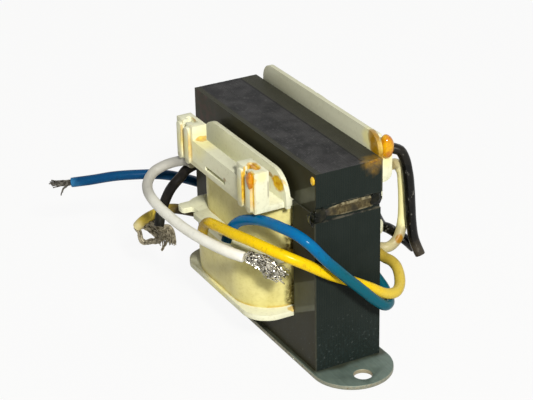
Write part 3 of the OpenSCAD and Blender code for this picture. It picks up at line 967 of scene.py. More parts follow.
class Shape:
    """Vertices and faces gathered for one piece, in millimetres."""

    def __init__(self) -> None:
        """Start with nothing."""
        self.verts: List[Vector] = []
        self.run: List[float] = []
        self.faces: List[Tuple[int, ...]] = []
        self.marks: List[int] = []

    def ring(self, points: Sequence[Vector], run: float = 0.0) -> List[int]:
        """Add a loop of points.

        Args:
            points: the loop.
            run: distance along a lead that its points carry.

        Returns:
            The places of the points in the piece.
        """
        first = len(self.verts)
        self.verts.extend(points)
        self.run.extend([run] * len(points))
        return list(range(first, len(self.verts)))

    def skin(self, first: List[int], second: List[int]) -> None:
        """Join two loops of equal length with a band of quads.

        Args:
            first: places of one loop's points.
            second: places of the other's.
        """
        count = len(first)
        for k in range(count):
            n = (k + 1) % count
            self.faces.append((first[k], first[n], second[n], second[k]))
            self.marks.append(0)

    def cap(self, loop: List[int], mark: int = 0) -> None:
        """Close a loop with one face, marked with the number of its finish."""
        self.faces.append(tuple(loop))
        self.marks.append(mark)

    def loft(self, loops: Sequence[Sequence[Vector]]) -> None:
        """Join loops in order and close both ends.

        Args:
            loops: points of each loop.
        """
        rings = [self.ring(loop) for loop in loops]
        for first, second in zip(rings, rings[1:]):
            self.skin(first, second)
        self.cap(rings[0])
        self.cap(rings[-1])

    def tube(self, line: Sequence[Vector], radii: Sequence[float], sides: int) -> List[int]:
        """Sweep a round section along a line, closed at its start.

        Args:
            line: points of the middle line.
            radii: one radius for each point.
            sides: corners of the section.

        Returns:
            The last loop, still open.
        """
        turn = [FULL_TURN * s / sides for s in range(sides)]
        last: List[int] = []
        run = 0.0
        for k, (point, (side, up)) in enumerate(zip(line, carried(line))):
            if k:
                run += (point - line[k - 1]).length
            spokes = [math.cos(a) * side + math.sin(a) * up for a in turn]
            loop = self.ring([point + radii[k] * spoke for spoke in spokes], run)
            if last:
                self.skin(last, loop)
            else:
                self.cap(loop)
            last = loop
        return last

    def piece(self, name: str, finishes: Sequence[Finish], crisp: float = 40.0) -> bpy.types.Object:
        """Make the Blender object.

        Args:
            name: the piece's name.
            finishes: its finishes, in the order of the faces' marks.
            crisp: angle in degrees above which an edge stays sharp.

        Returns:
            The object, linked to the scene and riding on the part.
        """
        mesh = bpy.data.meshes.new(name)
        mesh.from_pydata([v * MM for v in self.verts], [], self.faces)
        for finish in finishes:
            mesh.materials.append(finish.material())
        mesh.polygons.foreach_set("material_index", self.marks)
        attribute = mesh.attributes.new("along", "FLOAT", "POINT")
        attribute.data.foreach_set("value", self.run)
        soften(mesh, crisp)
        return placed(name, mesh)


def soften(mesh: bpy.types.Mesh, crisp: float) -> None:
    """Turn a mesh's normals outward and shade it smooth.

    Args:
        mesh: the mesh.
        crisp: angle in degrees above which an edge stays sharp.
    """
    work = bmesh.new()
    work.from_mesh(mesh)
    bmesh.ops.recalc_face_normals(work, faces=work.faces)
    work.to_mesh(mesh)
    work.free()
    mesh.shade_smooth()
    mesh.set_sharp_from_angle(angle=math.radians(crisp))


def placed(name: str, mesh: bpy.types.Mesh) -> bpy.types.Object:
    """Link a mesh to the scene as a piece that rides on the part.

    Args:
        name: the piece's name.
        mesh: its mesh.

    Returns:
        The piece.
    """
    piece = bpy.data.objects.new(name, mesh)
    bpy.context.scene.collection.objects.link(piece)
    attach(piece, BODY)
    LOG.info("%s: %d faces", name, len(mesh.polygons))
    return piece


def carried(line: Sequence[Vector]) -> List[Tuple[Vector, Vector]]:
    """Carry a pair of side directions along a line without twist.

    Args:
        line: points of the line.

    Returns:
        Two directions square to the line for each of its points.
    """
    pairs: List[Tuple[Vector, Vector]] = []
    side = Vector((0.0, 0.0, 1.0))
    for k in range(len(line)):
        ahead = (line[min(k + 1, len(line) - 1)] - line[max(k - 1, 0)]).normalized()
        if not pairs and abs(ahead.z) > UPRIGHT:
            side = Vector((1.0, 0.0, 0.0))
        side = (side - side.dot(ahead) * ahead).normalized()
        pairs.append((side, ahead.cross(side)))
    return pairs


def smooth_line(route: Route, step: float) -> List[Vector]:
    """Run a smooth curve through the points of a route.

    Args:
        route: the route's points, in millimetres.
        step: distance between the points of the result.

    Returns:
        Points at even distances along the curve.
    """
    points = [Vector(p) for p in route]
    points = [2 * points[0] - points[1], *points, 2 * points[-1] - points[-2]]
    dense: List[Vector] = []
    for a, b, c, d in zip(points, points[1:], points[2:], points[3:]):
        knots = [0.0]
        for first, second in ((a, b), (b, c), (c, d)):
            knots.append(knots[-1] + max((second - first).length, TINY) ** 0.5)
        shares = [n / CURVE_STEPS for n in range(CURVE_STEPS)]
        dense.extend(curve_point((a, b, c, d), knots, share) for share in shares)
    dense.append(points[-2])
    return even_line(dense, step)


def curve_point(points: Sequence[Vector], knots: Sequence[float], share: float) -> Vector:
    """Point of a centripetal curve between the second and third of four points.

    Args:
        points: the four points.
        knots: their places along the curve.
        share: how far the point is from the second to the third, from 0 to 1.

    Returns:
        The point.
    """
    t = knots[1] + share * (knots[2] - knots[1])
    level = list(points)
    for span in (1, 2):
        level = [
            level[i].lerp(level[i + 1], (t - knots[i]) / (knots[i + span] - knots[i]))
            for i in range(4 - span)
        ]
    return level[0].lerp(level[1], share)


def even_line(dense: Sequence[Vector], step: float) -> List[Vector]:
    """Space the points of a line evenly.

    Args:
        dense: close points of the line.
        step: about how far apart the new points are.

    Returns:
        The new points, from end to end.
    """
    marks = [0.0]
    for first, second in zip(dense, dense[1:]):
        marks.append(marks[-1] + (second - first).length)
    count = max(2, round(marks[-1] / step))
    even, k = [], 0
    for n in range(count + 1):
        goal = marks[-1] * n / count
        while k < len(marks) - 2 and marks[k + 1] < goal:
            k += 1
        gap = max(marks[k + 1] - marks[k], TINY)
        even.append(dense[k].lerp(dense[k + 1], (goal - marks[k]) / gap))
    return even


def rounded_copy(node: str, name: str, finish: Finish, edge: float) -> None:
    """Put a copy of a solid in its place, with its sharp edges broken.

    Args:
        node: the solid.
        name: the new piece's name.
        finish: its finish.
        edge: width of the rounding, in millimetres.
    """
    work = bmesh.new()
    work.from_mesh(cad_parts[node].data)
    bmesh.ops.remove_doubles(work, verts=work.verts, dist=MERGE * MM)
    flat = math.radians(FLAT_ANGLE)
    bmesh.ops.dissolve_limit(
        work, angle_limit=flat, verts=work.verts, edges=work.edges, delimit=set()
    )
    sharp = math.radians(CORNER_ANGLE)
    corners = [e for e in work.edges if e.is_manifold and e.calc_face_angle(0.0) > sharp]
    bmesh.ops.bevel(
        work, geom=corners, offset=edge * MM, segments=ROUND_FACES, profile=0.5, affect="EDGES",
        clamp_overlap=True,
    )
    mesh = bpy.data.meshes.new(name)
    work.to_mesh(mesh)
    work.free()
    mesh.materials.clear()
    mesh.materials.append(finish.material())
    soften(mesh, SMOOTH_ANGLE)
    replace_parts(placed(name, mesh), node)


# Sub-assemblies


@dataclass(frozen=True)
class Bundle:
    """Strands of a lead that lie together."""

    route: Route
    count: int
    # Width of the bundle at the cut, and how many times wider its tip is
    width: float
    flare: float
    # Share of the route that the shortest strand covers
    reach: float = 0.85


@dataclass
class BareStrands:
    """Loose conductor strands at the cut end of a lead, in one or more bundles."""

    node: str
    conductor: Conductor
    bundles: Tuple[Bundle, ...]
    # How far the strands stray at their tips, and how far they are kinked, in millimetres
    curl: float
    kink: float
    seed: int
    wire_d: float = 0.34
    # Turn of the bundle along its route, and from one strand to the next, in radians
    twist: float = 2.0
    spread: float = 2.4
    # How fast the kinks grow from the cut, and how fast they change along a strand
    onset: float = 3.0
    kink_rate: float = 0.35
    # Start of each strand, before and past the lead's cut face
    stub: Tuple[float, float] = (-0.3, 0.6)
    step: float = 0.4
    sides: int = 6
    noise_span: float = 100.0

    def build(self, lead: Route) -> bpy.types.Object:
        """Sweep each strand along its bundle.

        Args:
            lead: route of the lead, which every bundle leaves straight on.

        Returns:
            The piece, which replaces the bundle's solid.
        """
        rng = random.Random(self.seed)
        noise.seed_set(self.seed)
        shape = Shape()
        ahead = (Vector(lead[-1]) - Vector(lead[-2])).normalized()
        start = [tuple(Vector(lead[-1]) + ahead * past) for past in self.stub]
        for bundle in self.bundles:
            line = smooth_line([*start, *bundle.route], self.step)
            for k in range(bundle.count):
                path = self.strand(bundle, line, k, rng)
                shape.cap(shape.tube(path, [0.5 * self.wire_d] * len(path), self.sides))
        piece = shape.piece(self.node + "_wires", [self.conductor.value])
        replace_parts(piece, self.node)
        return piece

    def strand(self, bundle: Bundle, line: Sequence[Vector], k: int, rng: random.Random) -> List[Vector]:
        """Path of one strand.

        Args:
            bundle: the bundle.
            line: its middle line.
            k: number of the strand.
            rng: source of the strand's own shape.

        Returns:
            Points of the strand.
        """
        out = 0.5 * (bundle.width - self.wire_d) * math.sqrt((k + 0.5) / bundle.count)
        drift = Vector([rng.gauss(0.0, 1.0) for _ in range(3)]) * self.curl
        last = max(2, round((len(line) - 1) * rng.uniform(bundle.reach, 1.0)))
        phase = rng.uniform(0.0, self.noise_span)
        path: List[Vector] = []
        for n, (point, (side, up)) in enumerate(zip(line[: last + 1], carried(line))):
            t = n / (len(line) - 1)
            angle = self.spread * k + self.twist * t
            wide = out * (1.0 + (bundle.flare - 1.0) * t)
            grown = self.kink * min(1.0, self.onset * t)
            kinks = grown * noise.noise_vector(Vector((phase, self.kink_rate * n, 0.0)))
            stray = drift * t * t + kinks
            path.append(point + wide * (math.cos(angle) * side + math.sin(angle) * up) + stray)
        return path


class FarEnd(Enum):
    """Far ends of the leads: cut off, or back into the coil."""

    CUT = "bare"
    COIL = "object"


@dataclass
class Lead:
    """One cut hook-up lead."""

    node: str
    vinyl: Insulation
    route: Route
    far_end: FarEnd = FarEnd.CUT
    strands: Optional[BareStrands] = None
    diameter: float = 2.8
    conductor_d: float = 1.3
    sides: int = 20
    step: float = 0.7
    # Unevenness of the radius as a share, and how fast it changes along the lead
    uneven: float = 0.025
    uneven_rate: float = 0.35
    # Cut end: radius at the cut and of the lip as shares, and how far lip and face stand past it
    pinch: float = 0.97
    lip: float = 0.90
    lip_past: float = 0.10
    face_past: float = 0.12
    # Depth of the conductor's end
    sunk: float = 0.35
    # Most steps and least step of a path along the lead, which build works out but does not use
    path_steps: int = 38
    path_step: float = 0.9

    def build(self) -> None:
        line = smooth_line(self.route, self.step)
        radius = 0.5 * self.diameter
        radii = [radius * (1.0 + self.uneven * noise.noise(p * self.uneven_rate)) for p in line]
        radii[-1] = radius * self.pinch
        shape = Shape()
        rim = shape.tube(line, radii, self.sides)
        self.cut_end(shape, line, rim)
        piece = shape.piece(self.node + "_vinyl", [self.vinyl.value, Conductor.BRIGHT.value])
        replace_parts(piece, self.node)
        bare = [self.strands.build(self.route)] if self.strands else []
        length = sum((b - a).length for a, b in zip(line, line[1:])) * MM
        path = even_line(line, max(length / MM / self.path_steps, self.path_step))
        [p * MM for p in path]

    def cut_end(self, shape: Shape, line: Sequence[Vector], rim: List[int]) -> None:
        """Close the far end: a rounded lip, the wall of the insulation and the sunk conductor.

        Args:
            shape: the lead so far.
            line: its middle line.
            rim: the last loop of its tube.
        """
        ahead = (line[-1] - line[-2]).normalized()
        middle = line[-1]
        spokes = [(shape.verts[i] - middle).normalized() for i in rim]
        run = shape.run[rim[0]]
        last = rim
        share = self.conductor_d / self.diameter
        loops = ((self.lip, self.lip_past), (share, self.face_past), (share * self.pinch, -self.sunk))
        for out, past in loops:
            reach = 0.5 * self.diameter * out
            loop = shape.ring([middle + s * reach + ahead * past for s in spokes], run)
            shape.skin(last, loop)
            last = loop
        shape.cap(last, 1)


@dataclass
class LaminationStack:
    """A stack of thin sheets with one outline, as a single stepped solid."""

    node: str
    outline: Outline
    finish: CoreVarnish = CoreVarnish()
    chamfer: float = 0.03
    uneven: float = 0.03
    crisp: float = 20.0
    seed: int = 3

    def build(self) -> None:
        """Loft the outline through the sheets, each set in by its own small amount."""
        low, high = (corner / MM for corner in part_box(self.node))
        count = round((high.y - low.y) / SHEET_T)
        thick = (high.y - low.y) / count
        rng = random.Random(self.seed)
        loops: List[List[Vector]] = []
        for k in range(count):
            inset = rng.uniform(0.0, self.uneven)
            front = low.y + k * thick
            for depth, sunk in ((0.0, 1), (self.chamfer, 0), (thick - self.chamfer, 0), (thick, 1)):
                loops.append(self.loop(front + depth, inset + sunk * self.chamfer))
        shape = Shape()
        shape.loft(loops)
        piece = shape.piece(self.node + "_sheets", [self.finish], self.crisp)
        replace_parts(piece, self.node)

    def loop(self, y: float, inset: float) -> List[Vector]:
        """The outline at one depth.

        Args:
            y: place along the stack.
            inset: how far each edge lies inside the full outline.

        Returns:
            Its corners.
        """
        corners: List[Vector] = []
        count = len(self.outline)
        for k, (x, z) in enumerate(self.outline):
            shift = Vector((0.0, 0.0))
            for (ax, az), (bx, bz) in (
                (self.outline[k - 1], (x, z)), ((x, z), self.outline[(k + 1) % count])
            ):
                shift += Vector((az - bz, bx - ax)).normalized()
            corners.append(Vector((x + inset * shift.x, y, z + inset * shift.y)))
        return corners


def mirrored(half: Outline) -> Outline:
    """The same outline on the left side, in the order that closes it."""
    return [(-x, z) for x, z in reversed(half)]


class CoreEnd(Enum):
    """Ends of the core, each with the way that it faces along X."""

    LEFT = -1.0
    RIGHT = 1.0


@dataclass
class WeldBead:
    """A rough weld bead over the joint of the two stacks, on one end of the core."""

    node: str
    end: CoreEnd
    height: float = 3.2
    proud: float = 0.4
    sections: int = 60
    across: int = 14
    crisp: float = 60.0
    # How fast the bead grows from one end and fades at the other, and the power that rounds both
    growth: float = 2.4
    fade: float = 8.0
    rounding: float = 0.7
    # Shares of the height and the depth that are left at the very ends
    end_height: float = 0.2
    end_depth: float = 0.25
    # Fullness of the two ridges, and depth and half width of the crease between them, as shares
    ridge: float = 1.25
    crease: float = 0.55
    crease_w: float = 0.45
    # Sway of the bead and roughness of its face, in millimetres
    sway: float = 0.1
    rough: float = 0.14
    # Root in the core: its depth, and half its height as a share
    root: float = 0.2
    root_h: float = 0.3

    def build(self) -> None:
        """Loft the bead along the joint."""
        low, high = (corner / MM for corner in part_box(self.node))
        face = high.x if self.end is CoreEnd.LEFT else low.x
        middle = 0.5 * (low.z + high.z)
        loops: List[List[Vector]] = []
        for k in range(self.sections + 1):
            t = k / self.sections
            start = Vector((face, low.y + t * (high.y - low.y), middle))
            loops.append(self.section(t, start))
        shape = Shape()
        shape.loft(loops)
        piece = shape.piece(self.node + "_bead", [WeldMetal()], self.crisp)
        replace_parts(piece, self.node)

    def section(self, t: float, start: Vector) -> List[Vector]:
        """One section across the bead.

        Args:
            t: place along the bead, from 0 to 1.
            start: the point of the joint that the section lies over.

        Returns:
            Points round the section.
        """
        x, y, z = start
        side = self.end.value
        ends = min(1.0, self.growth * t, self.fade * (1.0 - t)) ** self.rounding
        tall = 0.5 * self.height * (self.end_height + (1.0 - self.end_height) * ends)
        deep = self.proud * (self.end_depth + (1.0 - self.end_depth) * ends) * self.ridge
        sway = self.sway * noise.noise(Vector((y * 0.5, side, 2.0)))
        loop: List[Vector] = []
        for s in range(self.across + 1):
            a = s / self.across * 2.0 - 1.0
            ridge = (1.0 - a * a) ** 0.5 if abs(a) < 1.0 else 0.0
            crease = 1.0 - self.crease * math.exp(-((a / self.crease_w) ** 2))
            rough = self.rough * noise.noise(Vector((y * 1.1, a * 2.5, 5.0 + side)))
            out = max(0.0, deep * ridge * crease + rough * ridge)
            loop.append(Vector((x + side * min(out, self.proud), y, z + tall * a + sway)))
        for rise in (self.root_h * self.height, -self.root_h * self.height):
            loop.append(Vector((x - side * self.root, y, z + rise)))
        return loop


@dataclass
class Core:
    """The welded core: E stack, bar stack and the weld beads in their end grooves."""

    tongue_w: float = 22.0
    window_w: float = 11.0
    yoke_h: float = 11.0
    groove_d: float = 0.5

    def build(self) -> None:
        """Build both stacks and both welds."""
        low, high = (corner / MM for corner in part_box("e_core"))
        half, inner = 0.5 * self.tongue_w, 0.5 * self.tongue_w + self.window_w
        floor, lip = low.z + self.yoke_h, high.z - 0.5 * GROOVE_H
        right = [
            (high.x, low.z), (high.x, lip), (high.x - self.groove_d, lip), (high.x - self.groove_d, high.z),
            (inner, high.z), (inner, floor), (half, floor), (half, high.z),
        ]
        LaminationStack("e_core", right + mirrored(right)).build()
        low, high = (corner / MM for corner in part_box("i_core"))
        lip = low.z + 0.5 * GROOVE_H
        right = [
            (high.x - self.groove_d, low.z), (high.x - self.groove_d, lip), (high.x, lip), (high.x, high.z)
        ]
        LaminationStack("i_core", right + mirrored(right), seed=7).build()
        WeldBead("weld_left", CoreEnd.LEFT).build()
        WeldBead("weld_right", CoreEnd.RIGHT).build()


@dataclass
class TapeWrap:
    """Outer tape round one winding section."""

    node: str
    corner_r: float = 8.0
    # Swelling at mid height, the power that flattens it, and how far its edges are drawn in
    bulge: float = 0.22
    flatness: int = 4
    inset: float = 0.1
    # Depth of the creases, and how fast they change across and up the band
    crease: float = 0.07
    crease_rate: Triple = (0.5, 0.5, 0.12)
    thick: float = 0.45
    rows: int = 14
    per_corner: int = 14
    per_side: int = 22
    crisp: float = 45.0

    def build(self) -> None:
        """Loft the tape as a closed band with a bulge and creases."""
        low, high = (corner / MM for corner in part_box(self.node))
        middle = Vector((0.5 * (low.x + high.x), 0.5 * (low.y + high.y), 0.0))
        plan = self.plan(0.5 * (high.x - low.x), 0.5 * (high.y - low.y))
        shape = Shape()
        rings: List[List[int]] = []
        for row in range(self.rows + 1):
            t = row / self.rows
            z = low.z + t * (high.z - low.z)
            swell = self.bulge * (1.0 - (2.0 * t - 1.0) ** self.flatness) - self.inset
            loop = []
            for point, normal in plan:
                spot = Vector((point.x, point.y, z)) * Vector(self.crease_rate)
                crease = self.crease * noise.noise(spot)
                loop.append(middle + point + normal * (swell + crease) + Vector((0.0, 0.0, z)))
            rings.append(shape.ring(loop))
        inside = [
            [middle + point - normal * self.thick + Vector((0.0, 0.0, z)) for point, normal in plan]
            for z in (high.z, low.z)
        ]
        rings.extend(shape.ring(loop) for loop in inside)
        for first, second in zip(rings, rings[1:] + rings[:1]):
            shape.skin(first, second)
        finish = CoilTape(f"coil_tape_{self.node}", "outer_tape", low.z)
        piece = shape.piece(self.node + "_tape", [finish], self.crisp)
        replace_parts(piece, self.node)

    def plan(self, half_x: float, half_y: float) -> List[Tuple[Vector, Vector]]:
        """Rounded outline of the band.

        Args:
            half_x: half its width.
            half_y: half its depth.

        Returns:
            Points round it, each with its outward direction.
        """
        points: List[Tuple[Vector, Vector]] = []
        r = self.corner_r
        quarter = 0.5 * math.pi
        centres = ((1, 1), (-1, 1), (-1, -1), (1, -1))
        for k, (sx, sy) in enumerate(centres):
            centre = Vector((sx * (half_x - r), sy * (half_y - r), 0.0))
            for s in range(self.per_corner + 1):
                a = quarter * (k + s / self.per_corner)
                normal = Vector((math.cos(a), math.sin(a), 0.0))
                points.append((centre + normal * r, normal))
            nx, ny = centres[(k + 1) % 4]
            after = Vector((nx * (half_x - r), ny * (half_y - r), 0.0)) + normal * r
            before = points[-1][0]
            for s in range(1, self.per_side):
                points.append((before.lerp(after, s / self.per_side), normal))
        return points


@dataclass
class Coil:
    """The bobbin with its windings and tape."""

    edge_r: float = 0.22

    def build(self) -> None:
        """Build the moulding and the two wraps, and dress the windings inside."""
        rounded_copy("bobbin", "bobbin_moulding", BobbinPlastic(), self.edge_r)
        TapeWrap("upper_wrap").build()
        TapeWrap("lower_wrap", corner_r=11.0, bulge=0.3).build()
        inside = (
            (CopperWire(), ("primary_inner", "primary_outer", "secondary_inner", "secondary_outer")),
            (InnerTape(), ("primary_insulation", "secondary_insulation")),
        )
        for finish, nodes in inside:
            for node in nodes:
                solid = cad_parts[node]
                solid.data.materials.clear()
                solid.data.materials.append(finish.material())
                LOG.info("%s: dressed", node)


@dataclass
class FootPlate:
    """The flat plate that the core stands on."""

    edge_r: float = 0.18

    def build(self) -> None:
        """Round the plate's punched edges."""
        rounded_copy("base_plate", "foot_plate", PlateSteel(), self.edge_r)


@dataclass
class VarnishBead:
    """A lump of set varnish."""

    name: str
    centre: Triple
    half: Triple
    finish: Finish
    node: Optional[str] = None
    lumps: float = 0.18
    seed: float = 0.0
    # How fast the lumps change round the bead
    lump_rate: float = 1.4
    rows: int = 18
    sides: int = 28
    crisp: float = 80.0

    def build(self) -> None:
        """Swell a sphere into a lump that takes the place of the bead's solid, where it has one."""
        shape = Shape()
        loops: List[List[Vector]] = []
        shift = Vector((self.seed, 0.0, 0.0))
        for row in range(1, self.rows):
            tilt = math.pi * row / self.rows
            wide = math.sin(tilt)
            loop = []
            for s in range(self.sides):
                a = FULL_TURN * s / self.sides
                way = Vector((wide * math.cos(a), wide * math.sin(a), math.cos(tilt)))
                swell = 1.0 + self.lumps * noise.noise(way * self.lump_rate + shift)
                loop.append(
                    Vector(c + h * w * swell for c, h, w in zip(self.centre, self.half, way))
                )
            loops.append(loop)
        shape.loft(loops)
        piece = shape.piece(self.name, [self.finish], self.crisp)
        if self.node:
            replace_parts(piece, self.node)


@dataclass
class VarnishRuns:
    """Runs and beads of varnish over the posts and the core's edges."""

    amber: Finish = Varnish.AMBER.value
    honey: Finish = Varnish.HONEY.value
    deep: Finish = Varnish.DEEP.value
    black: Finish = BlackVarnish()

    def build(self) -> None:
        """Build each bead."""
        for bead in self.on_posts() + self.on_core():
            bead.build()

    def on_posts(self) -> List[VarnishBead]:
        """List the beads on the lead posts.

        Returns:
            The beads, not built yet.
        """
        return [
            VarnishBead(
                "back_post_bead", (21.6, 17.85, 53.3), (1.95, 1.9, 3.2), self.amber,
                node="back_post_varnish", lumps=0.06,
            ),
            VarnishBead(
                "front_post_bead", (20.1, -20.6, 52.2), (1.25, 0.75, 2.2), self.amber,
                node="front_post_varnish",
            ),
            VarnishBead(
                "post_pocket_fill", (17.2, -17.9, 53.9), (2.3, 0.68, 0.5), self.amber, lumps=0.2, seed=2.0
            ),
        ]

    def on_core(self) -> List[VarnishBead]:
        """List the runs on the core's corner, edge and seams.

        Returns:
            The beads, not built yet.
        """
        return [
            VarnishBead(
                "core_corner_run", (32.75, 7.5, 55.95), (0.4, 2.0, 0.4), self.deep, lumps=0.5, seed=4.0
            ),
            VarnishBead(
                "core_edge_drop", (31.5, -9.35, 54.0), (1.0, 0.45, 1.1), self.honey, lumps=0.1, seed=8.0
            ),
            VarnishBead(
                "seam_front_run", (31.2, -9.6, 43.4), (1.8, 0.4, 2.2), self.black, lumps=0.5, seed=11.0
            ),
            VarnishBead(
                "seam_corner_run", (32.6, -8.0, 45.0), (0.55, 1.9, 1.9), self.black, lumps=0.5, seed=14.0
            ),
            VarnishBead(
                "seam_back_run", (32.6, 8.0, 45.7), (0.55, 1.5, 1.8), self.black, lumps=0.5, seed=17.0
            ),
        ]


